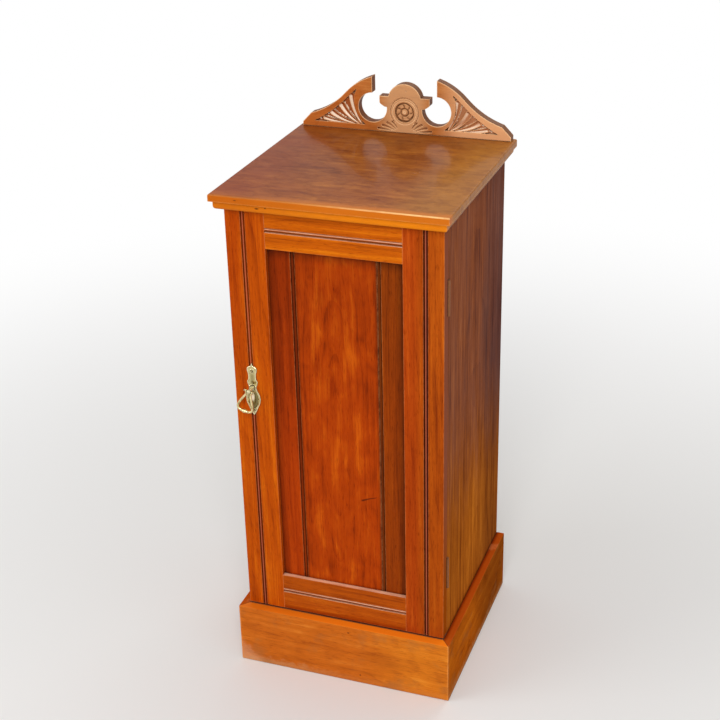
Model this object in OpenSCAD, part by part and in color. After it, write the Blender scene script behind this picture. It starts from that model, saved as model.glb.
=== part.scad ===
// Bedside pot cupboard: a narrow walnut cupboard on a plinth, with one overlay door of three
// tongued boards in a reeded frame, a brass drop handle, and a pierced and carved pediment
// standing on the back of its moulded top.
// Millimetres. +X is right, +Y is back, +Z is up. The origin is the centre of the whole
// object's footprint, on the floor.

/* [Top board] */
// Width of the top board, the same as the plinth's
top_w = 325; // [316:1:345]
// Depth of the top board, front to back
top_d = 336; // [326:1:350]
// Height of the top surface above the floor
top_z = 742; // [735:1:780]
// Thickness of the top board
top_t = 22; // [20:1:26]
// Height of the upper lip of its moulded edge
lip_h = 10; // [8:0.5:12]
// How far the lower part of the edge stands back under the lip
edge_step = 4.7; // [3:0.1:6]
// Radius of the lip's upper arris
arris_r = 2.2; // [1:0.1:3]
// Radius of the rounded lower corner of the edge
ovolo_r = 5; // [3:0.5:7]
// Overhang of the top in front of the door
front_overhang = 21; // [18:0.5:24]
// Overhang of the top behind the back boards, which carries the pediment
back_overhang = 18; // [16:0.5:22]

/* [Carcass] */
// Width over the two sides, the same as the door's
case_w = 300; // [290:1:310]
// Thickness of the sides
side_t = 16; // [15:0.5:18]
// Thickness of the bottom board
bottom_t = 14; // [12:1:16]
// Depth of the housings that hold the bottom board
housing_d = 5; // [4:0.5:6]
// Thickness of the shelf
shelf_t = 12; // [10:1:14]
// Height of the shelf's underside above the floor
shelf_z = 400; // [360:5:420]
// Thickness of the tongued back boards
back_t = 8; // [7:0.5:9]
// Thickness of the pine rails under the top
rail_t = 18; // [16:1:20]
// Depth of the pine rails under the top
rail_d = 45; // [40:1:50]

/* [Plinth] */
// Height of the plinth
plinth_h = 96; // [88:1:98]
// Ledge of the plinth in front of the door
plinth_ledge = 14.6; // [12:0.1:16]
// Gap from the floor to the sides, packing and back boards, which the plinth hides
foot_gap = 3; // [2:0.5:5]

/* [Door] */
// Thickness of the door frame
door_t = 16; // [16:0.5:18]
// Gap between the door and the carcass front
door_gap = 0.5; // [0.4:0.1:1]
// Gap under and over the door
door_reveal = 2; // [1.5:0.5:3]
// Width of the stiles
stile_w = 55.5; // [52:0.5:58]
// Height of the top rail
top_rail_h = 52; // [48:1:56]
// Height of the bottom rail
bottom_rail_h = 57.5; // [52:0.5:62]
// Distance of a stile's reed from the middle of the door
reed_x = 125; // [123:0.5:128]
// How far the panel lies behind the frame's face
panel_recess = 6.5; // [5.5:0.5:7]
// Thickness of the panel boards
panel_t = 7; // [6:0.5:7]
// Width of the middle panel board that shows
panel_mid_w = 115.6; // [100:0.2:120]

/* [Pediment] */
// Thickness of the pediment
ped_t = 15; // [14:0.5:16]
// Half of the pediment's width at its base
ped_half_w = 157; // [155:1:158]
// Height of the cut ends of the two swan necks
ped_h = 79.5; // [78:0.5:80]
// Radius of the round openings beside the centre
eye_r = 21.5; // [20:0.5:22]
// Depth of the sunk fields, before their flutes
sink = 2.4; // [1.5:0.1:3]

/* [Hinges] */
// Length of a butt hinge
hinge_l = 50; // [45:1:60]
// Height of the lower hinge's middle above the floor
lower_hinge_z = 200; // [160:5:240]
// Height of the upper hinge's middle above the floor
upper_hinge_z = 620; // [580:5:660]
// Radius of a hinge's knuckles
knuckle_r = 2.3; // [2.2:0.1:2.4]

/* [Handle] */
// Distance of the handle left of the middle of the door
handle_x = 124; // [122:0.5:126]
// Height of the handle's post above the floor
post_z = 459; // [440:1:480]
// How far the ball of the post stands in front of the door
post_reach = 14; // [13:0.5:16]
// Angle that the post, and so its bail, has turned from plumb
bail_lean = 16; // [0:1:20]
// Radius of the bail's wire
wire_r = 1.3; // [1.1:0.1:1.4]

/* [Hidden] */
$fn = 64;

// Room round a shank in its hole, and an amount that carries a cut past a face
room = 0.02;
past = 1;

// Heights
under_top = top_z - top_t;
door_low = plinth_h + door_reveal;
door_high = under_top - door_reveal;
floor_in = plinth_h + bottom_t;
rail_low = under_top - rail_t;

// Depths, from the front of the top backwards
top_front = -top_d / 2;
top_back = top_d / 2;
door_front = top_front + front_overhang;
door_back = door_front + door_t;
case_front = door_back + door_gap;
case_back = top_back - back_overhang;
back_in = case_back - back_t;

// Widths
side_in = case_w / 2 - side_t;
rebate_x = side_in + back_t;

// Dovetails of the rails under the top
tail_l = 8;
tail_root_w = 31;
tail_end_w = 38;

// Shelf and its bearers
shelf_front = case_front + 12;
bearer_w = 12;
bearer_h = 18;
bearer_cut = 8;

// Tongues of the back boards
back_tongue = 4;
back_tongue_t = 2.6;
back_board_w = 2 * rebate_x / 3;

// Screws: head radius, shank radius
wood_screw_head = 4;
wood_screw_shank = 2;
top_screw_l = 30;
top_screw_x = 90;
ped_screw_l = 42;
ped_screw_x = 100;
bearer_screw_l = 22;
bearer_screw_y = [-80, 100];
small_screw_head = 2.2;
small_screw_shank = 1.2;

// Nails of the back boards
nail_r = 1;
nail_head_r = 2.2;
nail_head_t = 0.8;
nail_l = 26;
nail_edge = 20;
nail_rows = [plinth_h + bottom_t / 2, shelf_z + shelf_t / 2, under_top - rail_t / 2];

// Plinth
plinth_front_y = door_front - plinth_ledge;
plinth_back_t = 18;
block_leg = 24;
block_low = 8;

// Door frame
stile_in = case_w / 2 - stile_w;
tenon_l = 30;
tenon_shoulder = 7;
groove_d = 6;
panel_y = door_front + panel_recess;
panel_room = 0.5;
rail_top_low = door_high - top_rail_h;
rail_bottom_high = door_low + bottom_rail_h;
rail_top_reed_z = rail_top_low + top_rail_h / 2;
rail_bottom_reed_z = door_low + 31.5;
stile_reed_w = 6.2;
rail_reed_w = 6;
reed_depth = 2.2;
quirk_w = 1.1;

// Panel boards: the joint, the bead beside it and its quirk
panel_joint_x = panel_mid_w / 2;
panel_bead_w = 4;
panel_quirk_w = 0.9;
panel_bead_depth = 1.7;
panel_joint_gap = 0.8;
panel_tongue = 4.5;
panel_tongue_t = 2.4;

// Hinges
hinge_z = [lower_hinge_z, upper_hinge_z];
leaf_t = 1.2;
leaf_in = side_in + 2;
pin_x = case_w / 2 + 0.6;
pin_y = door_back + door_gap / 2;
knuckles = 5;
knuckle_h = hinge_l / knuckles;
knuckle_gap = 0.2;
pin_r = 1.1;
pin_head_r = 1.7;
pin_head_h = 0.8;
bore_r = 1.15;
barrel_room = 0.35;
hinge_screw_x = side_in + side_t / 2;
hinge_screw_step = 17;
case_screw_l = 14;
door_screw_l = 10;

// Handle: everything is round the ball at the end of the post
ball = [-handle_x, door_front - post_reach, post_z];
ball_r = 3.25;
plate_t = 1.6;
post_neck_r = 1.9;
post_shank_r = 2;
collar_r = 3.4;
collar_t = 2.4;
cross_pin_r = 0.9;
cross_head_r = 1.5;
cross_head_t = 0.5;
eye_in = 3.7;
eye_out_r = 2;
eye_bore_r = 0.97;
bail_drop = 33;
washer_t = 1;
washer_r = 5;
nut_t = 3;
nut_r = 4.4;
plate_pin_r = 0.8;
plate_pin_head = 1.7;
plate_pin_l = 9;
plate_pin_z = [25, -35];

// Spring catch: a peg on the door enters a bent leaf under the front rail
catch_x = -110;
catch_w = 10;
catch_leaf_t = 0.8;
catch_gap_r = 3.3;
catch_z = rail_low - catch_leaf_t - catch_gap_r;
catch_mouth = case_front + 4;
catch_bend = case_front + 22;
peg_ball_r = 2.9;
peg_y = case_front + 11.5;
peg_r = 1.5;
peg_flange_r = 3.3;
peg_sunk = 9;

// ---------- Small tools ----------

// A box given by its lowest and highest corners
module block(low, high) {
    translate(low) cube(high - low);
}

// What a rounded corner of radius r loses: the corner of a square outside a quarter circle
module corner_waste(r) {
    difference() {
        square(r + past);
        circle(r);
    }
}

// A countersunk screw, head at the origin, driven along +Z; grow makes its hole
module wood_screw(length, head_r, shank_r, grow = 0) {
    head_h = head_r - shank_r;
    cylinder(h = head_h, r1 = head_r, r2 = shank_r);
    cylinder(h = length - 2 * shank_r, r = shank_r + grow);
    translate([0, 0, length - 2 * shank_r])
        cylinder(h = 2 * shank_r, r1 = shank_r + grow, r2 = shank_r / 4);
    if (grow > 0) translate([0, 0, -past]) cylinder(h = past, r = head_r);
}

// ---------- Top board ----------

// Half of the top's section: moulded at x = reach, cut square at x = 0
module top_section(reach) {
    difference() {
        union() {
            translate([0, top_t - lip_h]) square([reach, lip_h]);
            square([reach - edge_step, top_t - lip_h]);
        }
        translate([reach - arris_r, top_t - arris_r]) corner_waste(arris_r);
        translate([reach - edge_step - ovolo_r, ovolo_r]) rotate(-90) corner_waste(ovolo_r);
    }
}

module top_board() {
    color("sienna") difference() {
        // The front's moulding and the two ends' mouldings meet in mitres
        intersection() {
            translate([0, top_back, under_top]) rotate([90, 0, 0])
                linear_extrude(top_d) {
                    top_section(top_w / 2);
                    mirror([1, 0]) top_section(top_w / 2);
                }
            translate([0, top_back, under_top]) rotate([90, 0, 90])
                linear_extrude(top_w, center = true) mirror([1, 0]) top_section(top_d);
        }
        top_screw_set(room);
        pediment_screw_set(room);
    }
}

// Screws up through the pine rails into the top
module top_screw_set(grow = 0) {
    for (x = [-top_screw_x, top_screw_x], y = [case_front + rail_d / 2, back_in - rail_d / 2])
        translate([x, y, rail_low])
            wood_screw(top_screw_l, wood_screw_head, wood_screw_shank, grow);
}

module top_screws() {
    color("dimgray") top_screw_set();
}

// ---------- Pediment ----------

// Round openings, and the ogee: a convex arc, a short straight slope and a hollow arc
eye_c = [48, 34.7];
neck_x = 48.5;
neck_slope = 17;
convex_r = 91.6;
slope_l = 9;
hollow_r = 123;
convex_c = [neck_x, ped_h] - convex_r * [sin(neck_slope), cos(neck_slope)];
diagonal = [cos(45), sin(45)];
slope_top = convex_c + convex_r * diagonal;
slope_low = slope_top + slope_l * [cos(45), -sin(45)];
hollow_c = slope_low + hollow_r * diagonal;
hollow_end = hollow_c - hollow_r * [sin(neck_slope), cos(neck_slope)];
foot_h = 6;

// Middle: a dome between two square ears
dome_r = 25;
dome_z = 46.5;
ear = [37.6, 52.5];
ear_low = 42;

// Half of the outline, right of the middle
module pediment_half() {
    difference() {
        union() {
            // Solid base under the opening
            square([neck_x, eye_c.y]);
            // Convex part of the swan neck
            intersection() {
                translate(convex_c) circle(convex_r, $fn = 180);
                translate([neck_x, 0]) square([slope_top.x - neck_x, ped_h + past]);
            }
            // Slope, hollow part and foot
            difference() {
                polygon([
                    [slope_top.x, 0], slope_top, slope_low, hollow_end,
                    [ped_half_w, foot_h], [ped_half_w, 0],
                ]);
                translate(hollow_c) circle(hollow_r, $fn = 180);
            }
        }
        translate(eye_c) circle(eye_r);
    }
    // Ear, and the half of the dome over it
    polygon([
        [0, 0], [eye_c.x - eye_r, 0], [eye_c.x - eye_r, 33], [30, 37], [ear.x, ear_low], ear,
        [0, ear.y],
    ]);
    intersection() {
        translate([0, dome_z]) circle(dome_r);
        square([dome_r, 2 * dome_z]);
    }
}

// Points along an arc, between two angles
function arc(centre, radius, from, to, steps) =
    [for (i = [0 : steps]) let (a = from + (to - from) * i / steps)
        centre + radius * [cos(a), sin(a)]];

// The sunk field of one swan neck: a curved triangle between the ogee, the base and a band
// round the opening
border = 6.75;
field_low = 8.5;
field_tip = [139, field_low];
field_inner_c = [34.5, 42.4];
field_inner_r = 41.7;
module fan_field() {
    low = slope_low - border * diagonal;
    tip_run = field_tip - low;
    tip_turn = 45 + atan2(tip_run.y, tip_run.x);
    tip_r = norm(tip_run) / (2 * sin(tip_turn));
    difference() {
        polygon(concat(
            [[neck_x, field_low]],
            arc(convex_c, convex_r - border, 57, 45, 6),
            arc(low + tip_r * diagonal, tip_r, 225, 225 + 2 * tip_turn, 10)
        ));
        translate(field_inner_c) circle(field_inner_r, $fn = 128);
    }
}

// A gouge cut that widens from a point to a round end, in the plane of the face
module flute(from, to, end_r, depth) {
    run = to - from;
    lift = end_r - depth;
    start_r = lift + 0.4;
    translate([from.x, from.y, lift]) rotate([0, 90, atan2(run.y, run.x)]) {
        cylinder(h = norm(run), r1 = start_r, r2 = end_r, $fn = 32);
        translate([0, 0, norm(run)]) sphere(end_r, $fn = 32);
    }
}

// The fan of flutes in a field, from the corner beside the opening
fan_roots = [[67, 12.5], [74, 12], [84, 11.6], [97, 11.4]];
fan_ends = [[81.5, 45.5], [95.5, 31.5], [110, 20.8], [121.5, 13.8]];
fan_end_r = [4.2, 4.2, 3.6, 2.4];
module fan_flutes() {
    for (i = [0 : len(fan_ends) - 1]) flute(fan_roots[i], fan_ends[i], fan_end_r[i], 1.9);
}

// The roundel: an incised ring round a sunk dish with petals and a boss
roundel_z = 30.2;
ring_r = 21;
dish_r = 14.2;
petal_count = 8;
petal_r = 3;
petal_at = 9.3;
boss_r = 5.2;

// Leaf sprays at the foot of the roundel
spray_from = [12, 5.5];
spray_ends = [[20, 15], [28, 12.5], [37, 8.5]];

module pediment() {
    color("chocolate") translate([0, top_back - ped_t, top_z]) rotate([90, 0, 0])
        difference() {
            union() {
                difference() {
                    translate([0, 0, -ped_t]) linear_extrude(ped_t) {
                        pediment_half();
                        mirror([1, 0]) pediment_half();
                    }
                    translate([0, 0, -sink]) linear_extrude(sink + past) {
                        fan_field();
                        mirror([1, 0]) fan_field();
                    }
                    translate([0, roundel_z, -sink]) cylinder(h = sink + past, r = dish_r);
                    translate([0, roundel_z, 0]) rotate_extrude()
                        translate([ring_r, 0]) circle(0.8, $fn = 24);
                }
                translate([0, roundel_z, -sink]) rosette();
            }
            translate([0, 0, -sink]) {
                fan_flutes();
                mirror([1, 0, 0]) fan_flutes();
            }
            for (end = spray_ends) {
                flute(spray_from, end, 1.6, 1.2);
                mirror([1, 0, 0]) flute(spray_from, end, 1.6, 1.2);
            }
            rotate([-90, 0, 0]) translate([0, ped_t - top_back, -top_z])
                pediment_screw_set(room);
        }
}

// Petals and boss, as low domes standing on the dish's floor
module rosette() {
    intersection() {
        union() {
            sphere(boss_r - sink + 1, $fn = 48);
            for (i = [0 : petal_count - 1]) rotate(i * 360 / petal_count)
                translate([petal_at, 0, petal_r - sink - 1.6]) sphere(petal_r, $fn = 32);
        }
        translate([0, 0, -past]) cylinder(h = 2 * past + sink + 1, r = dish_r + past);
    }
}

// Screws up through the top's rear overhang into the pediment
module pediment_screw_set(grow = 0) {
    for (x = [-ped_screw_x, 0, ped_screw_x])
        translate([x, top_back - ped_t / 2, under_top])
            wood_screw(ped_screw_l, wood_screw_head, wood_screw_shank, grow);
}

module pediment_screws() {
    color("dimgray") pediment_screw_set();
}

// ---------- Carcass ----------

// One side, drawn on the right
module side_panel() {
    difference() {
        block([side_in, case_front, foot_gap], [case_w / 2, case_back, under_top]);
        // Rebate for the back boards
        block([side_in - past, back_in, foot_gap - past],
            [rebate_x, case_back + past, under_top + past]);
        // Housing for the bottom board
        block([side_in - past, case_front - past, plinth_h],
            [side_in + housing_d, back_in + past, floor_in]);
        // Sockets for the dovetails of the two rails
        for (y = [case_front + rail_d / 2, back_in - rail_d / 2])
            translate([0, y, rail_low]) dovetail(rail_t + past);
        mirrored_bearer_screws(room);
    }
}

module side_left() {
    color("saddlebrown") mirror([1, 0, 0]) side_panel();
}

module side_right() {
    color("saddlebrown") difference() {
        side_panel();
        for (z = hinge_z) translate([0, 0, z]) {
            case_leaf_pocket();
            barrel_pocket();
        }
        case_screw_set(room);
    }
}

// The dovetail at the right end of a rail, seen from above
module dovetail(height) {
    linear_extrude(height) polygon([
        [side_in - past, -tail_root_w / 2], [side_in, -tail_root_w / 2],
        [side_in + tail_l, -tail_end_w / 2], [side_in + tail_l, tail_end_w / 2],
        [side_in, tail_root_w / 2], [side_in - past, tail_root_w / 2],
    ]);
}

module bottom_board() {
    color("peru") difference() {
        block([-side_in - housing_d, case_front, plinth_h],
            [side_in + housing_d, back_in, floor_in]);
        back_nail_set(room);
    }
}

module shelf() {
    color("peru") difference() {
        block([-side_in, shelf_front, shelf_z], [side_in, back_in, shelf_z + shelf_t]);
        back_nail_set(room);
    }
}

// The right-hand bearer, with its lower front corner cut off at 45 degrees
module shelf_bearer() {
    low = shelf_z - bearer_h;
    difference() {
        translate([side_in - bearer_w, 0, 0]) rotate([90, 0, 90])
            linear_extrude(bearer_w) polygon([
                [shelf_front, shelf_z], [shelf_front, low + bearer_cut],
                [shelf_front + bearer_cut, low], [back_in, low], [back_in, shelf_z],
            ]);
        mirrored_bearer_screws(room);
    }
}

module shelf_bearer_left() {
    color("burlywood") mirror([1, 0, 0]) shelf_bearer();
}

module shelf_bearer_right() {
    color("burlywood") shelf_bearer();
}

// Screws through the right-hand bearer into its side
module mirrored_bearer_screws(grow = 0) {
    for (y = bearer_screw_y)
        translate([side_in - bearer_w, y, shelf_z - bearer_h / 2]) rotate([0, 90, 0])
            wood_screw(bearer_screw_l, wood_screw_head, wood_screw_shank, grow);
}

module bearer_screws() {
    color("dimgray") {
        mirrored_bearer_screws();
        mirror([1, 0, 0]) mirrored_bearer_screws();
    }
}

// A rail under the top, dovetailed into both sides
module top_rail(y) {
    color("burlywood") difference() {
        union() {
            block([-side_in, y - rail_d / 2, rail_low], [side_in, y + rail_d / 2, under_top]);
            translate([0, y, rail_low]) {
                dovetail(rail_t);
                mirror([1, 0, 0]) dovetail(rail_t);
            }
        }
        top_screw_set(room);
        back_nail_set(room);
        catch_screw_set(room);
    }
}

module top_rail_front() {
    top_rail(case_front + rail_d / 2);
}

module top_rail_back() {
    top_rail(back_in - rail_d / 2);
}

// A back board from x = low to x = high, tongued on its right edge where another follows
module back_board(index) {
    low = -rebate_x + index * back_board_w;
    high = low + back_board_w;
    mid = back_in + back_t / 2;
    color("burlywood") difference() {
        union() {
            block([low, back_in, foot_gap], [high, case_back, under_top]);
            if (index < 2)
                block([high - past, mid - back_tongue_t / 2, foot_gap],
                    [high + back_tongue, mid + back_tongue_t / 2, under_top]);
        }
        if (index > 0)
            block([low - past, mid - back_tongue_t / 2 - room, foot_gap - past],
                [low + back_tongue + 0.5, mid + back_tongue_t / 2 + room, under_top + past]);
        back_nail_set(room);
    }
}

module back_board_left() {
    back_board(0);
}

module back_board_middle() {
    back_board(1);
}

module back_board_right() {
    back_board(2);
}

// Two nails through each back board into the bottom board, the shelf and the rear rail
module back_nail_set(grow = 0) {
    for (index = [0 : 2], z = nail_rows, edge = [nail_edge, back_board_w - nail_edge])
        translate([-rebate_x + index * back_board_w + edge, case_back, z])
            rotate([90, 0, 0]) {
                cylinder(h = nail_l, r = nail_r + grow, $fn = 24);
                cylinder(h = nail_head_t, r = nail_head_r + grow, $fn = 24);
            }
}

module back_nails() {
    color("dimgray") back_nail_set();
}

// ---------- Plinth ----------

module plinth_front() {
    color("sienna") linear_extrude(plinth_h) polygon([
        [-top_w / 2, plinth_front_y], [top_w / 2, plinth_front_y],
        [case_w / 2, door_front], [-case_w / 2, door_front],
    ]);
}

// The right-hand board, mitred at its front end
module plinth_side() {
    linear_extrude(plinth_h) polygon([
        [top_w / 2, plinth_front_y], [top_w / 2, case_back],
        [case_w / 2, case_back], [case_w / 2, door_front],
    ]);
}

module plinth_left() {
    color("sienna") mirror([1, 0, 0]) plinth_side();
}

module plinth_right() {
    color("sienna") plinth_side();
}

module plinth_packing() {
    color("burlywood")
        block([-case_w / 2, door_front, foot_gap], [case_w / 2, case_front, plinth_h]);
}

module plinth_back() {
    color("burlywood")
        block([-side_in, back_in - plinth_back_t, foot_gap], [side_in, back_in, plinth_h]);
}

// Glue blocks in the four inside corners, under the bottom board
module plinth_blocks() {
    color("burlywood") for (flip = [0, 1], rear = [0, 1])
        mirror([flip, 0, 0])
            translate([side_in, rear ? back_in - plinth_back_t : case_front, block_low])
                mirror([0, rear, 0]) linear_extrude(plinth_h - block_low)
                    polygon([[0, 0], [-block_leg, 0], [0, block_leg]]);
}

// ---------- Door ----------

// The cut of a reed along +Z: two quirks with a round bead between them, flush with the face
module reed_cut(width, length) {
    bead_r = width / 2 - quirk_w;
    translate([0, door_front, 0]) difference() {
        translate([-width / 2, -past, -past])
            cube([width, reed_depth + past, length + 2 * past]);
        translate([0, bead_r, -2 * past]) cylinder(h = length + 4 * past, r = bead_r);
    }
}

// The slot that takes a tenon or the panel's edge, in the plane of the panel
module slot(low, high) {
    block([low.x, panel_y, low.y], [high.x, panel_y + panel_t, high.y]);
}

module tenon(low, high) {
    slot(low, high);
}

// The right-hand stile
module door_stile() {
    difference() {
        block([stile_in, door_front, door_low], [case_w / 2, door_back, door_high]);
        translate([reed_x, 0, door_low]) reed_cut(stile_reed_w, door_high - door_low);
        // Groove for the panel
        slot([stile_in - past, rail_bottom_high - groove_d],
            [stile_in + groove_d, rail_top_low + groove_d]);
        // Mortises for the rails
        slot([stile_in - past, rail_top_low + tenon_shoulder],
            [stile_in + tenon_l + panel_room, door_high - tenon_shoulder]);
        slot([stile_in - past, door_low + tenon_shoulder],
            [stile_in + tenon_l + panel_room, rail_bottom_high - tenon_shoulder]);
    }
}

module door_stile_right() {
    color("saddlebrown") difference() {
        door_stile();
        for (z = hinge_z) translate([0, 0, z]) {
            door_leaf_pocket();
            barrel_pocket();
        }
        door_screw_set(room);
    }
}

module door_stile_left() {
    color("saddlebrown") difference() {
        mirror([1, 0, 0]) door_stile();
        // Holes for the handle's post and pins, and for the catch's peg
        translate(ball) rotate([-90, 0, 0])
            cylinder(h = post_reach + door_t + past, r = post_shank_r + room);
        plate_pin_set(room);
        peg_hole();
    }
}

// The catch's peg goes through the stile and into the top rail's tenon
module peg_hole() {
    translate([catch_x, door_back + past, catch_z]) rotate([90, 0, 0])
        cylinder(h = peg_sunk + past, r = peg_r + room);
}

// A rail with its two tenons, its reed and the groove for the panel
module door_rail(low, high, reed_z, groove_low) {
    color("saddlebrown") difference() {
        union() {
            block([-stile_in, door_front, low], [stile_in, door_back, high]);
            tenon([-stile_in - tenon_l, low + tenon_shoulder],
                [stile_in + tenon_l, high - tenon_shoulder]);
        }
        translate([-stile_in, 0, reed_z]) rotate([0, 90, 0])
            reed_cut(rail_reed_w, 2 * stile_in);
        slot([-stile_in - past, groove_low], [stile_in + past, groove_low + groove_d + past]);
    }
}

module door_rail_top() {
    color("saddlebrown") difference() {
        door_rail(rail_top_low, door_high, rail_top_reed_z, rail_top_low - past);
        peg_hole();
    }
}

module door_rail_bottom() {
    door_rail(door_low, rail_bottom_high, rail_bottom_reed_z, rail_bottom_high - groove_d);
}

// Heights of the panel boards' ends, inside the grooves of the rails
panel_low = rail_bottom_high - groove_d + panel_room;
panel_high = rail_top_low + groove_d - panel_room;
panel_edge_x = stile_in + groove_d - panel_room;

module door_panel_middle() {
    mid = panel_y + panel_t / 2;
    color("sienna") difference() {
        block([-panel_joint_x, panel_y, panel_low],
            [panel_joint_x, panel_y + panel_t, panel_high]);
        for (flip = [0, 1]) mirror([flip, 0, 0])
            block([panel_joint_x - panel_tongue - 0.3, mid - panel_tongue_t / 2 - room,
                    panel_low - past],
                [panel_joint_x + past, mid + panel_tongue_t / 2 + room, panel_high + past]);
        // The face stands off a little at each joint
        for (flip = [0, 1]) mirror([flip, 0, 0])
            block([panel_joint_x - panel_joint_gap, panel_y - past, panel_low - past],
                [panel_joint_x + past, panel_y + panel_bead_depth, panel_high + past]);
    }
}

// The right-hand side board: a tongue, then a bead with a quirk beside the joint
module door_panel_side() {
    mid = panel_y + panel_t / 2;
    bead_r = panel_bead_w / 2;
    difference() {
        union() {
            block([panel_joint_x, panel_y, panel_low],
                [panel_edge_x, panel_y + panel_t, panel_high]);
            block([panel_joint_x - panel_tongue, mid - panel_tongue_t / 2, panel_low],
                [panel_joint_x + past, mid + panel_tongue_t / 2, panel_high]);
        }
        difference() {
            block([panel_joint_x - past, panel_y - past, panel_low - past],
                [panel_joint_x + panel_bead_w + panel_quirk_w, panel_y + panel_bead_depth,
                    panel_high + past]);
            translate([panel_joint_x + bead_r, panel_y + bead_r, panel_low - 2 * past])
                cylinder(h = panel_high - panel_low + 4 * past, r = bead_r);
        }
    }
}

module door_panel_left() {
    color("saddlebrown") mirror([1, 0, 0]) door_panel_side();
}

module door_panel_right() {
    color("saddlebrown") door_panel_side();
}

// ---------- Hinges ----------

// Room in a corner of wood for the barrel and its pin's head
module barrel_pocket() {
    translate([pin_x, pin_y, -hinge_l / 2])
        cylinder(h = hinge_l + 1.5 * pin_head_h, r = knuckle_r + barrel_room);
}

module case_leaf_pocket() {
    block([leaf_in, case_front - past, -hinge_l / 2],
        [pin_x + past, case_front + leaf_t, hinge_l / 2]);
}

module door_leaf_pocket() {
    block([leaf_in, door_back - leaf_t, -hinge_l / 2],
        [pin_x + past, door_back + past, hinge_l / 2]);
}

// A leaf from y = low to y = high with the knuckles first, first + 2 and so on
module hinge_leaf(low, high, first) {
    difference() {
        union() {
            difference() {
                block([leaf_in, low, -hinge_l / 2], [pin_x, high, hinge_l / 2]);
                // Room for the other leaf's knuckles
                for (i = [1 - first : 2 : knuckles - 1])
                    translate([pin_x, pin_y, -hinge_l / 2 + i * knuckle_h])
                        cylinder(h = knuckle_h, r = knuckle_r + barrel_room);
            }
            for (i = [first : 2 : knuckles - 1])
                translate([pin_x, pin_y, -hinge_l / 2 + i * knuckle_h + knuckle_gap / 2])
                    cylinder(h = knuckle_h - knuckle_gap, r = knuckle_r);
        }
        translate([pin_x, pin_y, -hinge_l / 2 - past])
            cylinder(h = hinge_l + 2 * past, r = bore_r);
    }
}

module case_leaf(z) {
    color("darkgoldenrod") difference() {
        translate([0, 0, z]) hinge_leaf(case_front, case_front + leaf_t, 0);
        case_screw_set(room);
    }
}

module door_leaf(z) {
    color("darkgoldenrod") difference() {
        translate([0, 0, z]) hinge_leaf(door_back - leaf_t, door_back, 1);
        door_screw_set(room);
    }
}

// A pin with a flat head on the top knuckle
module hinge_pin(z) {
    color("darkgoldenrod") translate([pin_x, pin_y, z - hinge_l / 2]) {
        cylinder(h = hinge_l, r = pin_r);
        translate([0, 0, hinge_l - knuckle_gap / 2]) cylinder(h = pin_head_h, r = pin_head_r);
    }
}

module upper_hinge_case_leaf() {
    case_leaf(hinge_z[1]);
}

module lower_hinge_case_leaf() {
    case_leaf(hinge_z[0]);
}

module upper_hinge_door_leaf() {
    door_leaf(hinge_z[1]);
}

module lower_hinge_door_leaf() {
    door_leaf(hinge_z[0]);
}

module upper_hinge_pin() {
    hinge_pin(hinge_z[1]);
}

module lower_hinge_pin() {
    hinge_pin(hinge_z[0]);
}

// Three screws through each leaf, into the edge of the side or the back of the stile
module case_screw_set(grow = 0) {
    for (z = hinge_z, i = [-1 : 1])
        translate([hinge_screw_x, case_front, z + i * hinge_screw_step]) rotate([-90, 0, 0])
            wood_screw(case_screw_l, small_screw_head, small_screw_shank, grow);
}

module door_screw_set(grow = 0) {
    for (z = hinge_z, i = [-1 : 1])
        translate([hinge_screw_x, door_back, z + i * hinge_screw_step]) rotate([90, 0, 0])
            wood_screw(door_screw_l, small_screw_head, small_screw_shank, grow);
}

module hinge_screws_case() {
    color("goldenrod") case_screw_set();
}

module hinge_screws_door() {
    color("goldenrod") door_screw_set();
}

// ---------- Handle ----------

// Half of the backplate's outline; y is measured from the post
module plate_half() {
    // Crest and upper lobes
    translate([0, 33.5]) circle(2.8, $fn = 32);
    translate([3.6, 26]) circle(4, $fn = 32);
    polygon([[0, 36.8], [1.2, 35.5], [4, 29.6], [6, 15.5], [5.2, 11], [7.2, 8], [0, 0]]);
    // Middle lobes and the disc round the post
    translate([3.9, 6.5]) circle(4.1, $fn = 32);
    circle(5.8, $fn = 48);
    polygon([[0, 3], [4.4, -2], [6.5, -6.5], [9.9, -12], [0, -17]]);
    // Leaf and lower finial
    translate([0, -17]) circle(10.9, $fn = 64);
    polygon([[0, -17], [10.4, -20.3], [8.5, -28], [5.8, -33], [2.6, -36], [2, -40], [0, -43.5]]);
}

module handle_backplate() {
    color("darkkhaki") difference() {
        translate([-handle_x, door_front, post_z]) rotate([90, 0, 0]) {
            linear_extrude(plate_t) {
                plate_half();
                mirror([1, 0]) plate_half();
            }
            // The leaf's raised, domed middle
            translate([0, -17, plate_t - 38.6]) intersection() {
                sphere(39.6, $fn = 96);
                translate([0, 0, 38]) cylinder(h = 3, r = 8.6);
            }
        }
        translate(ball) rotate([-90, 0, 0])
            cylinder(h = post_reach + past, r = post_shank_r + room);
        plate_pin_set(room);
    }
}

// Two round-headed pins through the plate into the stile
module plate_pin_set(grow = 0) {
    for (z = plate_pin_z) translate([-handle_x, door_front - plate_t, post_z + z]) {
        rotate([-90, 0, 0]) cylinder(h = plate_pin_l, r = plate_pin_r + grow, $fn = 24);
        if (grow == 0) intersection() {
            sphere(plate_pin_head, $fn = 32);
            block([-3, -3, -3], [3, 0, 3]);
        }
    }
}

module handle_plate_pins() {
    color("darkkhaki") plate_pin_set();
}

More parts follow.
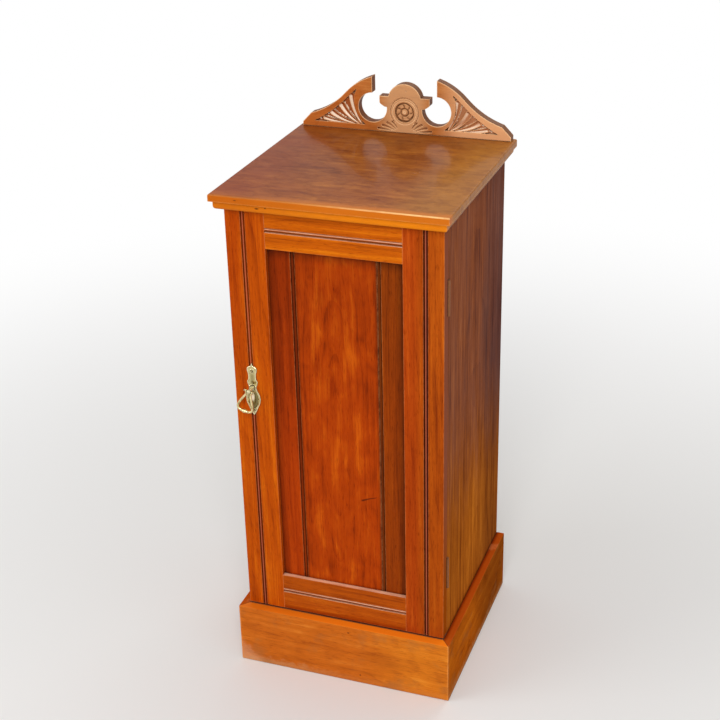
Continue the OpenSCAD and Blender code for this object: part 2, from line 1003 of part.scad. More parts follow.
// The post: ball, neck, collar on the plate, and a shank through the door
module handle_post() {
    neck_l = post_reach - plate_t - collar_t;
    color("darkkhaki") difference() {
        translate(ball) rotate([-90, 0, 0]) {
            sphere(ball_r, $fn = 48);
            cylinder(h = neck_l, r1 = post_neck_r, r2 = post_neck_r + 0.6, $fn = 48);
            translate([0, 0, neck_l]) cylinder(h = collar_t, r = collar_r);
            translate([0, 0, neck_l])
                cylinder(h = collar_t + plate_t + door_t + washer_t + nut_t + 1.5,
                    r = post_shank_r);
        }
        translate(ball) rotate([0, bail_lean, 0]) rotate([0, 90, 0])
            cylinder(h = 4 * ball_r, r = cross_pin_r + room, center = true, $fn = 32);
    }
}

// The pin through the ball on which the bail swings, with a head at each end
module handle_cross_pin() {
    reach = limb_x + eye_out_r + 0.1;
    color("darkkhaki") translate(ball) rotate([0, bail_lean, 0]) rotate([0, 90, 0]) {
        cylinder(h = 2 * reach, r = cross_pin_r, center = true, $fn = 32);
        for (end = [-1, 1]) translate([0, 0, end * (reach + cross_head_t / 2)])
            cylinder(h = cross_head_t, r = cross_head_r, center = true, $fn = 32);
    }
}

module handle_washer() {
    color("darkkhaki") translate([-handle_x, door_back, post_z]) rotate([-90, 0, 0])
        difference() {
            cylinder(h = washer_t, r = washer_r);
            translate([0, 0, -past])
                cylinder(h = washer_t + 2 * past, r = post_shank_r + room);
        }
}

module handle_nut() {
    color("darkkhaki") translate([-handle_x, door_back + washer_t, post_z])
        rotate([-90, 0, 0]) difference() {
            cylinder(h = nut_t, r = nut_r, $fn = 6);
            translate([0, 0, -past]) cylinder(h = nut_t + 2 * past, r = post_shank_r + room);
        }
}

// Half of the bail: a limb that leans outwards, a slightly fuller corner that laps over the
// two straights, and half of the foot
limb_x = eye_in + 0.8;
limb_lean = 13;
corner_r = 3.2;
corner_fuller = 0.06;
corner_lap = 0.3;
limb_l = (bail_drop - corner_r * (1 + sin(limb_lean))) / cos(limb_lean);
corner_x = limb_x + limb_l * sin(limb_lean) - corner_r * cos(limb_lean);

module bail_half() {
    rotate([90, 0, 0]) {
        translate([limb_x, 0]) rotate(limb_lean) rotate([90, 0, 0])
            cylinder(h = limb_l + corner_lap, r = wire_r, $fn = 24);
        translate([corner_x, corner_r - bail_drop]) rotate(-90)
            rotate_extrude(angle = 90 + limb_lean)
                translate([corner_r, 0]) circle(wire_r + corner_fuller, $fn = 24);
        translate([0, -bail_drop]) rotate([0, 90, 0])
            cylinder(h = corner_x + corner_lap, r = wire_r, $fn = 24);
    }
}

// Its ends are balls, filed flat inside and drilled for the pin
module handle_bail() {
    color("darkkhaki") translate(ball) rotate([0, bail_lean, 0]) difference() {
        union() {
            bail_half();
            mirror([1, 0, 0]) bail_half();
            for (side = [-1, 1]) translate([side * limb_x, 0, 0]) sphere(eye_out_r, $fn = 48);
        }
        rotate([0, 90, 0]) cylinder(h = 4 * limb_x, r = eye_bore_r, center = true, $fn = 48);
        cube([2 * eye_in, 4 * eye_out_r, 4 * eye_out_r], center = true);
    }
}

// ---------- Catch ----------

// A strip of spring brass bent double, open to the front, screwed under the front rail
module catch_spring() {
    outer_r = catch_gap_r + catch_leaf_t;
    color("gold") difference() {
        translate([catch_x - catch_w / 2, 0, catch_z]) rotate([90, 0, 90])
            linear_extrude(catch_w) {
                for (side = [-1, 1]) translate([catch_mouth, side * (outer_r - 0.4) - 0.4])
                    square([catch_bend - catch_mouth, catch_leaf_t]);
                intersection() {
                    translate([catch_bend, 0]) difference() {
                        circle(outer_r);
                        circle(catch_gap_r);
                    }
                    translate([catch_bend, -outer_r]) square(2 * outer_r);
                }
            }
        catch_screw_set(room);
    }
}

module catch_screw_set(grow = 0) {
    for (side = [-1, 1]) translate([catch_x + side * 3, catch_bend - 3, rail_low - catch_leaf_t])
        wood_screw(8, 1.6, 0.9, grow);
}

module catch_screws() {
    color("goldenrod") catch_screw_set();
}

// A ball-ended peg screwed into the back of the door
module catch_peg() {
    color("gold") translate([catch_x, door_back, catch_z]) rotate([-90, 0, 0]) {
        translate([0, 0, -peg_sunk]) cylinder(h = peg_sunk + peg_y - door_back, r = peg_r);
        cylinder(h = 1, r = peg_flange_r);
        translate([0, 0, peg_y - door_back]) sphere(peg_ball_r, $fn = 48);
    }
}

top_board();
pediment();
pediment_screws();
side_left();
side_right();
bottom_board();
shelf();
shelf_bearer_left();
shelf_bearer_right();
bearer_screws();
top_rail_front();
top_rail_back();
top_screws();
back_board_left();
back_board_middle();
back_board_right();
back_nails();
plinth_front();
plinth_left();
plinth_right();
plinth_packing();
plinth_back();
plinth_blocks();
door_stile_left();
door_stile_right();
door_rail_top();
door_rail_bottom();
door_panel_left();
door_panel_middle();
door_panel_right();
upper_hinge_case_leaf();
lower_hinge_case_leaf();
upper_hinge_door_leaf();
lower_hinge_door_leaf();
upper_hinge_pin();
lower_hinge_pin();
hinge_screws_case();
hinge_screws_door();
handle_backplate();
handle_post();
handle_cross_pin();
handle_washer();
handle_nut();
handle_plate_pins();
handle_bail();
catch_spring();
catch_screws();
catch_peg();
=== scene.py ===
import math

import bmesh
import bpy
import numpy as np
from mathutils import Matrix, Vector
from mathutils.geometry import delaunay_2d_cdt


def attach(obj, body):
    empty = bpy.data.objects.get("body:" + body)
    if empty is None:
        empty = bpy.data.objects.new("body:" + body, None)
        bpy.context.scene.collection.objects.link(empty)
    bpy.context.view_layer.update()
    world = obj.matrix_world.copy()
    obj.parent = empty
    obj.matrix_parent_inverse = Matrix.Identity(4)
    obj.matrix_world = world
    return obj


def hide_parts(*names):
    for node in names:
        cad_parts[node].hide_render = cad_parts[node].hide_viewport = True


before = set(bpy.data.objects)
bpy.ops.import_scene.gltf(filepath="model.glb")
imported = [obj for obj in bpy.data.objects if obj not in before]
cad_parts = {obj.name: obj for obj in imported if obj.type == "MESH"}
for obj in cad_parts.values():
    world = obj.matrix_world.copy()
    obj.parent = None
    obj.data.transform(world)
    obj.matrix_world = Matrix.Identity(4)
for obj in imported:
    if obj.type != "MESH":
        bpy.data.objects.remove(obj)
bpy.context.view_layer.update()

# ---------- Studio ----------
# The cupboard stands on a plain pale floor, in front of a white backdrop, and is seen from
# above and from its right-hand side, through a moderately long lens.
VIEW_FROM = (0.6236, -1.7410, 1.3459)
VIEW_PAN = 0.3543
VIEW_DOWN = 0.4509
VIEW_ROLL = -0.0250
LENS_MM = 71.4
SENSOR_MM = 36.0
MIDDLE_OF_CUPBOARD = Vector((0.0, 0.0, 0.42))


def placed(name, data):
    """Puts a camera, a lamp or a mesh into the scene."""
    made = bpy.data.objects.new(name, data)
    bpy.context.scene.collection.objects.link(made)
    return made


camera = placed("camera", bpy.data.cameras.new("camera"))
camera.data.lens = LENS_MM
camera.data.sensor_width = SENSOR_MM
camera.matrix_world = (
    Matrix.Translation(VIEW_FROM)
    @ Matrix.Rotation(VIEW_PAN, 4, "Z")
    @ Matrix.Rotation(math.pi / 2 - VIEW_DOWN, 4, "X")
    @ Matrix.Rotation(VIEW_ROLL, 4, "Z")
)
bpy.context.scene.camera = camera
bpy.context.scene.view_settings.view_transform = "Standard"


def soft_light(name, place, size, watts):
    """A square softbox that faces the middle of the cupboard."""
    lamp = bpy.data.lights.new(name, "AREA")
    lamp.size = size
    lamp.energy = watts
    holder = placed(name, lamp)
    holder.location = place
    towards = MIDDLE_OF_CUPBOARD - Vector(place)
    holder.rotation_euler = towards.to_track_quat("-Z", "Y").to_euler()


soft_light("key_light", (0.7, -2.5, 2.2), 1.3, 43.0)
soft_light("fill_light", (-2.3, -1.7, 1.6), 1.8, 20.0)
soft_light("back_light", (0.4, 2.2, 2.4), 1.4, 15.0)


def feed(socket, value):
    """Joins a reading to a node's input, or sets the input to a plain value."""
    if isinstance(value, Reading):
        value.tree.links.new(value.socket, socket)
    else:
        socket.default_value = value


class Reading:
    """What a shader node gives out. Readings add, subtract, multiply and divide like numbers."""

    def __init__(self, socket):
        self.socket = socket
        self.tree = socket.id_data

    def step(self, how, other=0.0, third=0.0, clamp=False):
        """One step of arithmetic with another reading or a number."""
        made = self.tree.nodes.new("ShaderNodeMath")
        made.operation = how
        made.use_clamp = clamp
        for socket, value in zip(made.inputs, (self, other, third)):
            feed(socket, value)
        return Reading(made.outputs[0])

    def __add__(self, other):
        return self.step("ADD", other)

    def __sub__(self, other):
        return self.step("SUBTRACT", other)

    def __rsub__(self, other):
        return self.step("MULTIPLY_ADD", -1.0, other)

    def __mul__(self, other):
        return self.step("MULTIPLY", other)

    def __truediv__(self, other):
        return self.step("DIVIDE", other)

    def __abs__(self):
        return self.step("ABSOLUTE")


def out(node, which=0):
    """A node's first output, or the one named."""
    return Reading(node.outputs[which])


def add(tree, kind, settings=None, **sockets):
    """Adds one shader node. A socket takes a plain value or a reading."""
    made = tree.nodes.new("ShaderNode" + kind)
    for name, value in (settings or {}).items():
        setattr(made, name, value)
    for name, value in sockets.items():
        feed(made.inputs[name.replace("_", " ")], value)
    return made


def sees_backdrop(tree):
    """1 for what the camera sees straight, in polished metal or through glass."""
    ray = add(tree, "LightPath")
    straight = out(ray, "Is Camera Ray").step("MAXIMUM", out(ray, "Is Transmission Ray"))
    return straight.step("MAXIMUM", out(ray, "Is Glossy Ray"))


def either(amount, under, over):
    """One shader laid over another by an amount."""
    made = amount.tree.nodes.new("ShaderNodeMixShader")
    for socket, value in zip(made.inputs, (amount, out(under), out(over))):
        feed(socket, value)
    return out(made)


WHITE = (1.0, 1.0, 1.0, 1.0)
world = bpy.data.worlds.new("studio")
world.use_nodes = True
bpy.context.scene.world = world
sky = world.node_tree
sky.nodes.clear()
lit = add(sky, "Background", Color=(1.0, 0.99, 0.975, 1.0), Strength=0.50)
seen = add(sky, "Background", Color=WHITE, Strength=1.0)
add(sky, "OutputWorld", Surface=either(sees_backdrop(sky), lit, seen))


def new_material(name):
    """An empty material, its tree and its finish, which is joined to the output."""
    made = bpy.data.materials.new(name)
    made.use_nodes = True
    tree = made.node_tree
    tree.nodes.clear()
    finish = add(tree, "BsdfPrincipled")
    add(tree, "OutputMaterial", Surface=out(finish))
    return made, tree, finish


def tint(amount, under, over, how="MIX"):
    """Lays one colour over another by an amount."""
    tree = next(value.tree for value in (amount, under, over) if isinstance(value, Reading))
    made = tree.nodes.new("ShaderNodeMix")
    made.data_type = "RGBA"
    made.blend_type = how
    for place, value in zip((0, 6, 7), (amount, under, over)):
        feed(made.inputs[place], value)
    return out(made, 2)


def span(value, low, high, to_low=0.0, to_high=1.0):
    """Carries a reading from one span to another, easing in and out and stopping at the ends."""
    made = value.tree.nodes.new("ShaderNodeMapRange")
    made.interpolation_type = "SMOOTHSTEP"
    for socket, given in zip(made.inputs, (value, low, high, to_low, to_high)):
        feed(socket, given)
    return out(made)


FLOOR_REACH = 14.0
FLOOR_DROP = 0.0002
FADE_FROM, FADE_TO = 0.35, 1.9

floor_paint, tree, finish = new_material("pale_floor")
spots = out(add(tree, "TexNoise", Scale=1.7, Detail=3.0))
feed(finish.inputs["Base Color"], tint(spots, (0.86, 0.855, 0.845, 1.0), (0.90, 0.895, 0.885, 1.0)))
feed(finish.inputs["Roughness"], 0.8)
feed(finish.inputs["Specular IOR Level"], 0.2)
# Away from the cupboard the floor runs into the white backdrop
spot = out(add(tree, "NewGeometry"), "Position")
away = out(add(tree, "VectorMath", {"operation": "LENGTH"}, Vector=spot), "Value")
backdrop = add(tree, "Emission", Color=WHITE, Strength=1.0)
faded = either(sees_backdrop(tree) * span(away, FADE_FROM, FADE_TO), finish, backdrop)
feed(tree.nodes["Material Output"].inputs["Surface"], faded)

floor_mesh = bpy.data.meshes.new("floor")
corners = [(-FLOOR_REACH, -FLOOR_REACH), (FLOOR_REACH, -FLOOR_REACH),
           (FLOOR_REACH, FLOOR_REACH), (-FLOOR_REACH, FLOOR_REACH)]
floor_mesh.from_pydata([(x, y, -FLOOR_DROP) for x, y in corners], [], [(0, 1, 2, 3)])
floor_mesh.materials.append(floor_paint)
floor = placed("floor", floor_mesh)

# ---------- Sides ----------
# Two walnut boards, grain upright, with a painted dark greyish reflection high up, paler low down. Each is
# housed for the bottom board and rebated for the back boards.


def split(place):
    """The x, y and z of a place or of a direction."""
    return [Reading(socket) for socket in add(place.tree, "SeparateXYZ", Vector=place).outputs]


def stretched(place, stretch):
    """A place stretched, so that a texture is long with the grain: across, through and along."""
    return out(add(place.tree, "Mapping", Vector=place, Scale=stretch))


def cloud(place, stretch, detail=2.0, roughness=0.5, distortion=0.0):
    """Soft irregular patches, from 0 to 1. Stretch is how many there are to the millimetre."""
    made = add(
        place.tree, "TexNoise", Vector=stretched(place, stretch), Scale=1.0, Detail=detail,
        Roughness=roughness, Distortion=distortion,
    )
    return out(made)


def shared_effect(name, inputs, outputs):
    """An empty shader node group, what it is given, by name, and its named results."""
    group = bpy.data.node_groups.new(name, "ShaderNodeTree")
    for label, kind, value in inputs:
        socket = group.interface.new_socket(label, in_out="INPUT", socket_type="NodeSocket" + kind)
        if value is not None:
            socket.default_value = value
    for label, kind in outputs:
        group.interface.new_socket(label, in_out="OUTPUT", socket_type="NodeSocket" + kind)
    given = {socket.name: Reading(socket) for socket in group.nodes.new("NodeGroupInput").outputs}
    return group, given, group.nodes.new("NodeGroupOutput").inputs


# The figure of a board: growth rings cut by its face, streaks, fibres and open pores.
# Place is in millimetres: across the board, through it, and along its grain.
figure, given, result = shared_effect(
    "board_figure",
    [
        ("Place", "Vector", None), ("Pale", "Color", WHITE), ("Middle", "Color", WHITE),
        ("Dark", "Color", WHITE), ("Heart", "Float", 60.0), ("Lean", "Float", 0.1),
        ("Wander", "Float", 30.0), ("Rings", "Float", 6.0), ("Ring Strength", "Float", 0.5),
        ("Streaks", "Float", 0.5), ("Pores", "Float", 0.5), ("Mottle", "Float", 0.3),
    ],
    [("Color", "Color"), ("Fibre", "Float")],
)
place = given["Place"]
across, through, along = split(place)
drift = cloud(place, (0.011, 0.011, 0.0042), 2.5) - 0.5
sway = cloud(place, (0.035, 0.035, 0.009)) - 0.5
depth = given["Heart"] + given["Lean"] * along + drift * given["Wander"] + through
aside = across + sway * 9.0
year = (depth * depth + aside * aside).step("SQRT") / given["Rings"]
band = out(add(figure, "TexNoise", {"noise_dimensions": "1D"}, W=year, Scale=0.42, Detail=2.0)) - 0.5
latewood = year.step("FRACT").step("POWER", 5.0) * 0.22
streak = cloud(place, (0.12, 0.12, 0.0035), 3.0, 0.6) - 0.5
fine = cloud(place, (0.55, 0.55, 0.012), 3.0, 0.65) - 0.5
fibre = cloud(place, (2.3, 2.3, 0.06))
mottle = cloud(place, (0.05, 0.05, 0.022), 2.0, 0.5, 0.6) - 0.5
pore = span(cloud(place, (1.6, 1.6, 0.085), 1.0), 0.60, 0.72)
tone = (band - latewood) * given["Ring Strength"] + 0.5
tone = tone + (streak + fine * 0.8) * given["Streaks"] + mottle * given["Mottle"]
wood = tint(span(tone, 0.14, 0.52), given["Dark"], given["Middle"])
wood = tint(span(tone, 0.49, 0.80), wood, given["Pale"])
wood = tint(pore * given["Pores"], wood, given["Dark"], "MULTIPLY")
feed(result["Color"], tint(1.0, wood, fibre * 0.24 + 0.88, "MULTIPLY"))
feed(result["Fibre"], fibre - pore)

# Years of handling: arrises rubbed pale, and quirks, corners and recesses darkened, partly by gathered polish
# and dust and partly as painted shade.
# Reach and hollow are how far it looks for an edge or a corner, in metres.
age, given, result = shared_effect(
    "handling",
    [
        ("Place", "Vector", None), ("Rub", "Float", 0.5), ("Reach", "Float", 0.002),
        ("Gather", "Float", 0.5), ("Hollow", "Float", 0.006),
    ],
    [("Rubbed", "Float"), ("Gathered", "Float")],
)
inside = add(
    age, "AmbientOcclusion", {"inside": True, "only_local": True, "samples": 6},
    Distance=given["Reach"],
)
outside = add(age, "AmbientOcclusion", {"only_local": False, "samples": 6}, Distance=given["Hollow"])
uneven = cloud(given["Place"], (0.11, 0.11, 0.11), 4.0, 0.7)
near_edge = span(1.0 - out(inside, "AO"), 0.16, 0.52)
in_corner = span(1.0 - out(outside, "AO"), 0.22, 0.72)
feed(result["Rubbed"], near_edge * span(uneven, 0.34, 0.62, 0.25, 1.0) * given["Rub"])
feed(result["Gathered"], in_corner * given["Gather"])


def board_place(tree, grain, spot):
    """Millimetres from a spot on the board, ordered by its grain, and the same as x, y and z."""
    metres = out(add(tree, "TexCoord"), "Object")
    shift = tuple(-1000.0 * v for v in spot)
    shifted = out(add(tree, "Mapping", Vector=metres, Location=shift, Scale=(1000.0,) * 3))
    parts = dict(zip("xyz", split(shifted)))
    x, y, z = (parts[letter] for letter in grain)
    return out(add(tree, "CombineXYZ", X=x, Y=y, Z=z)), shifted


def colour(red, green, blue):
    """A colour written as the eye sees it, 0 to 255, as Blender's light values."""
    parts = [v / 255.0 for v in (red, green, blue)]
    light = [v / 12.92 if v <= 0.04045 else ((v + 0.055) / 1.055) ** 2.4 for v in parts]
    return (*light, 1.0)


def sawn(place, tones, **cut):
    """A board's colour and fibres. Tones are pale, middle and dark; cut sets the figure."""
    pale, middle, dark = (colour(*tone) for tone in tones)
    cut = {label.title(): value for label, value in cut.items()}
    made = add(
        place.tree, "Group", {"node_tree": figure}, Place=place, Pale=pale, Middle=middle, Dark=dark, **cut
    )
    return out(made, "Color"), out(made, "Fibre")


def handled(place, rub, reach, gather, hollow):
    """Where a piece is rubbed, and where its corners are darkened by gathered polish and dust and by painted
    shade.
    """
    made = add(
        place.tree, "Group", {"node_tree": age}, Place=place, Rub=rub, Reach=reach, Gather=gather,
        Hollow=hollow,
    )
    return out(made, "Rubbed"), out(made, "Gathered")


def bumped(finish, strength, deep, height):
    """Roughens a finish; deep is in metres."""
    bump = add(finish.id_data, "Bump", Strength=strength, Distance=deep, Height=height)
    feed(finish.inputs["Normal"], out(bump))


def polished_board(
    name, grain, spot, tones, rub=0.5, reach=0.0022, gather=0.6, hollow=0.007, worn=(214, 140, 84),
    shine=0.30, gloss=0.05, coat_rough=0.08, marks=None, **cut,
):
    """French-polished walnut. Grain names the axes across, through and along the board."""
    made, tree, finish = new_material(name)
    place, shifted = board_place(tree, grain, spot)
    wood, fibre = sawn(place, tones, **cut)
    rubbed, gathered = handled(shifted, rub, reach, gather, hollow)
    if marks:
        wood = marks(shifted, wood)
    if isinstance(wood, tuple):
        wood, varnish = wood
        feed(finish.inputs["Coat Weight"], varnish)
    # Dark in the quirks and corners: gathered polish and dust, and painted shade
    wood = tint(gathered, wood, colour(46, 20, 12))
    feed(finish.inputs["Base Color"], tint(rubbed, wood, colour(*worn)))
    smears = cloud(shifted, (0.02, 0.02, 0.012), 4.0, 0.6)
    rough = smears * 0.16 + (shine - 0.08) + gathered * 0.35 + rubbed * 0.2
    feed(finish.inputs["Roughness"], rough)
    ripple = cloud(place, (0.045, 0.045, 0.012))
    bumped(finish, 0.35, 0.00012, fibre * 0.25 + ripple)
    feed(finish.inputs["Specular IOR Level"], gloss)
    feed(finish.inputs["Coat Roughness"], coat_rough)
    return made


def shaded(amount, wood, ratio):
    """Darkens the wood towards a share of its red, green and blue, and keeps its figure."""
    return tint(amount, wood, (*ratio, 1.0), "MULTIPLY")


def facing(place):
    """The way the surface faces, as x, y and z."""
    return split(out(add(place.tree, "NewGeometry"), "Normal"))


SAME_POINT = 0.000002
SAME_PLANE = math.radians(0.4)
ARRIS_ANGLE = math.radians(38)


def finish_node(name, made, arris=0.0):
    """Gives a CAD piece its material, and eases its arrises by so many metres."""
    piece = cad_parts[name]
    for held in piece.material_slots:
        held.material = made
    if arris:
        piece.modifiers.new("joined", "WELD").merge_threshold = SAME_POINT
        flat = piece.modifiers.new("flat_faces", "DECIMATE")
        flat.decimate_type = "DISSOLVE"
        flat.angle_limit = SAME_PLANE
        eased = piece.modifiers.new("eased_arrises", "BEVEL")
        eased.width = arris
        eased.segments = 2
        eased.limit_method = "ANGLE"
        eased.angle_limit = ARRIS_ANGLE
        eased.use_clamp_overlap = True
        eased.miter_outer = "MITER_SHARP"
        piece.modifiers.new("faces", "WEIGHTED_NORMAL").keep_sharp = False


def side_bloom(place, wood):
    """A painted purple-brown reflection high up and behind, deeper to the rear, and the wood golden brown low
    down.
    """
    _, y, z = split(place)
    uneven = cloud(place, (0.02, 0.03, 0.006), 4.0, 0.65)
    # Painted reflection of the room in the polish, purple-brown, strongest high up and to the rear
    high = span(uneven * 150.0 + z, -150.0, 120.0)
    wood = shaded(high, wood, (0.63, 0.59, 1.6))
    behind = span(y, -10.0, 110.0) * span(high, 0.0, 1.0, 0.6, 1.0) * span(z, 80.0, 280.0, 1.0, 0.7)
    wood = shaded(behind, wood, (0.47, 0.48, 1.1))
    return wood, span(high, 0.0, 1.0, 0.0, 0.11) * span(uneven, 0.3, 0.7, 0.6, 1.3)


SIDE_TONES = ((214, 126, 38), (176, 95, 26), (108, 48, 16))
SIDE_CUTS = {
    "side_right": ((0.15, 0.01, 0.41), dict(
        heart=170.0, lean=0.04, wander=26.0, rings=9.0, ring_strength=0.45, streaks=0.85, pores=0.4,
        mottle=0.25,
    )),
    "side_left": ((-0.15, -0.05, 0.33), dict(
        heart=120.0, lean=-0.05, wander=34.0, rings=8.0, ring_strength=0.6, streaks=0.9, pores=0.5,
        mottle=0.15,
    )),
}
for name, (spot, cut) in SIDE_CUTS.items():
    board = polished_board(
        "walnut_" + name, "yxz", spot, SIDE_TONES, worn=(150, 84, 40), shine=0.42, gloss=0.0,
        coat_rough=0.35, marks=side_bloom, **cut,
    )
    finish_node(name, board, 0.0008)

# ---------- Bottom board, shelf and bearers ----------
# Plain pine inside, planed and waxed brown with age. The bottom board is housed in the sides;
# the shelf lies loose on two screwed bearers.
PINE_TONES = ((214, 172, 116), (188, 138, 82), (138, 90, 48))
PINE_CUT = dict(
    heart=40.0, lean=0.12, wander=20.0, rings=7.0, ring_strength=0.9, streaks=0.35, pores=0.12, mottle=0.2
)


def dry_board(name, grain, spot, tones=PINE_TONES, dull=0.62, knots=0.0, **cut):
    """Unpolished pine: strong growth rings, and dust in its corners."""
    made, tree, finish = new_material(name)
    place, shifted = board_place(tree, grain, spot)
    wood, fibre = sawn(place, tones, **{**PINE_CUT, **cut})
    rubbed, gathered = handled(shifted, 0.25, 0.002, 0.55, 0.012)
    if knots:
        cell = add(tree, "TexVoronoi", Vector=stretched(place, (0.011, 0.011, 0.0042)), Scale=1.0)
        wood = tint(span(out(cell, "Distance"), 0.10, 0.045, 0.0, knots), wood, colour(84, 44, 22))
    stain = cloud(shifted, (0.012, 0.012, 0.012), 4.0, 0.6)
    wood = tint(span(stain, 0.5, 0.75, 0.0, 0.4), wood, colour(112, 78, 46))
    # Dark in the corners: gathered dust, and painted shade
    wood = tint(gathered, wood, colour(58, 36, 22))
    feed(finish.inputs["Base Color"], tint(rubbed, wood, colour(222, 184, 128)))
    feed(finish.inputs["Roughness"], stain * 0.2 + (dull - 0.1))
    saw = cloud(place, (0.3, 0.3, 0.02), 3.0)
    bumped(finish, 0.5, 0.0003, fibre * 0.5 + saw)
    feed(finish.inputs["Specular IOR Level"], 0.3)
    return made


inside_pine = dry_board("pine_inside", "yzx", (0.0, 0.04, 0.3), dull=0.5)
finish_node("bottom_board", inside_pine, 0.0006)
finish_node("shelf", inside_pine, 0.0010)
bearer_pine = dry_board("pine_bearers", "xzy", (0.0, 0.0, 0.39), rings=4.0)
finish_node("shelf_bearer_left", bearer_pine, 0.0008)
finish_node("shelf_bearer_right", bearer_pine, 0.0008)

# ---------- Rails under the top ----------
# Two pine rails, lap-dovetailed into the tops of the sides. They hold the case together, and
# the top is screwed down to them.
rail_pine = dry_board("pine_rails", "yzx", (0.0, -0.06, 0.72), rings=4.5)
finish_node("top_rail_front", rail_pine, 0.0005)
finish_node("top_rail_back", rail_pine, 0.0005)

# ---------- Back boards ----------
# Three rough pine boards, tongued together upright in the sides' rebates and nailed. Dry, grey
# and never polished.
BACK_TONES = ((196, 158, 108), (170, 128, 80), (124, 84, 48))
BACK_BOARDS = {
    "back_board_left": ((-0.09, 0.146, 0.20), 36.0, 0.10),
    "back_board_middle": ((0.01, 0.146, 0.48), 30.0, -0.08),
    "back_board_right": ((0.10, 0.146, 0.35), 55.0, 0.07),
}
for name, (spot, heart, lean) in BACK_BOARDS.items():
    board = dry_board("pine_" + name, "xyz", spot, BACK_TONES, dull=0.75, knots=0.85, heart=heart, lean=lean)
    finish_node(name, board, 0.0008)

# ---------- Nails and hidden screws ----------
# Oval-headed steel nails in the back boards, and countersunk steel screws up through the rails,
# the bearers and the top. All are rusted a dark brown.


def old_metal(
    name, tones, brightness=0.5, rough=(0.28, 0.55), metallic=1.0, grain_mm=2.4, pitted=0.5, marks=None
):
    """Metal in three tones: bright where it is rubbed, tarnished, and dark in its hollows."""
    made, tree, finish = new_material(name)
    shifted = board_place(tree, "xyz", (0.0, 0.0, 0.0))[1]
    bright, tarnished, dark = (colour(*tone) for tone in tones)
    patches = cloud(shifted, (1.0 / grain_mm,) * 3, 4.0, 0.65, 0.3)
    specks = cloud(shifted, (1.9, 1.9, 1.9), 3.0, 0.7)
    rubbed, gathered = handled(shifted, 1.0, 0.0012, 0.9, 0.0035)
    dulled = span(patches, brightness - 0.18, brightness + 0.18).step("SUBTRACT", rubbed, clamp=True)
    metal = tint(dulled, bright, tarnished)
    metal = tint(span(specks, 0.62, 0.75, 0.0, pitted), metal, dark)
    if marks:
        metal = marks(shifted, metal)
    feed(finish.inputs["Base Color"], tint(gathered, metal, dark))
    feed(finish.inputs["Roughness"], span(dulled, 0.0, 1.0, *rough))
    feed(finish.inputs["Metallic"], gathered * (-0.5 * metallic) + metallic)
    bumped(finish, 0.3, 0.0001, specks * 0.4 + patches)
    return made


RUST_TONES = ((120, 112, 104), (88, 62, 46), (48, 30, 22))
rusty_steel = old_metal("rusty_steel", RUST_TONES, 0.42, (0.4, 0.7), 0.8)
for name in ("back_nails", "top_screws", "bearer_screws", "pediment_screws"):
    finish_node(name, rusty_steel)

# ---------- Plinth ----------
# Thin walnut boards mitred at the front corners and planted on the case, scuffed at the foot;
# behind them a pine packing piece, a pine back and four glued corner blocks.
SCUFF = colour(196, 142, 92)
DULL_RUB = colour(150, 96, 52)
# Each dent: its place across and up, and half of its width and height
PLINTH_DENTS = ((10.7, 85.8, 2.4, 1.6), (27.5, 14.0, 1.6, 2.2))


def from_spot(x, z, spot):
    """0 in the middle of an upright oval, 1 at its rim, and more outside it."""
    at_x, at_z, half_wide, half_high = spot
    aside, up = (x - at_x) / half_wide, (z - at_z) / half_high
    return aside * aside + up * up


def scuffs(place):
    """Where the polish is broken, worn off at the foot, and rubbed higher up."""
    broken = cloud(place, (0.09, 0.09, 0.13), 5.0, 0.75)
    foot = span(broken * -34.0 + split(place)[2], -2.0, -14.0)
    return broken, foot, span(cloud(place, (0.02, 0.02, 0.03), 4.0, 0.6), 0.52, 0.70)


def front_skirt(place, wood):
    """Kicked at the near left foot and dented twice; its upward-facing ledge is painted bright, as lit from
    above.
    """
    x, _, z = split(place)
    broken, foot, rubs = scuffs(place)
    wood = shaded(span(x, 120.0, 10.0), wood, (0.86, 0.72, 0.8))
    wood = tint(foot * span(x, 30.0, -110.0, 0.12, 0.5), wood, SCUFF)
    kicked = broken * 40.0 + z * 1.1 + x
    wood = tint(span(kicked, -92.0, -118.0, 0.0, 0.34), wood, colour(226, 170, 128))
    wood = tint(rubs * 0.35, wood, DULL_RUB)
    for dent in PLINTH_DENTS:
        dented = span(from_spot(x, z, dent) + broken * 0.9, 1.3, 0.6, 0.0, 0.75)
        wood = tint(dented, wood, colour(70, 30, 14))
    # Painted light: the ledge, which faces up, is made bright orange
    ledge = span(facing(place)[2], 0.6, 0.9)
    return tint(ledge * span(x, -150.0, 20.0, 0.6, 1.0), wood, colour(250, 130, 24))


def side_skirt(place, wood):
    """Darker to the rear; the upward-facing ledge is painted red-brown, darkest by the case as painted shade,
    and rubbed in places.
    """
    x, y, _ = split(place)
    _, foot, rubs = scuffs(place)
    wood = shaded(span(y, -70.0, 30.0), wood, (0.62, 0.62, 0.9))
    wood = tint(foot * 0.5, wood, SCUFF)
    wood = tint(rubs * 0.35, wood, DULL_RUB)
    ledge = span(facing(place)[2], 0.6, 0.9)
    # Painted light and shade on the ledge: lit red-brown, and dark beside the case
    redder = tint(span(abs(x), 3.0, 9.5), colour(190, 80, 18), colour(140, 42, 5))
    wood = tint(ledge * 0.9, wood, redder)
    return tint(ledge * span(rubs, 0.4, 0.8, 0.0, 0.4), wood, colour(222, 128, 72))


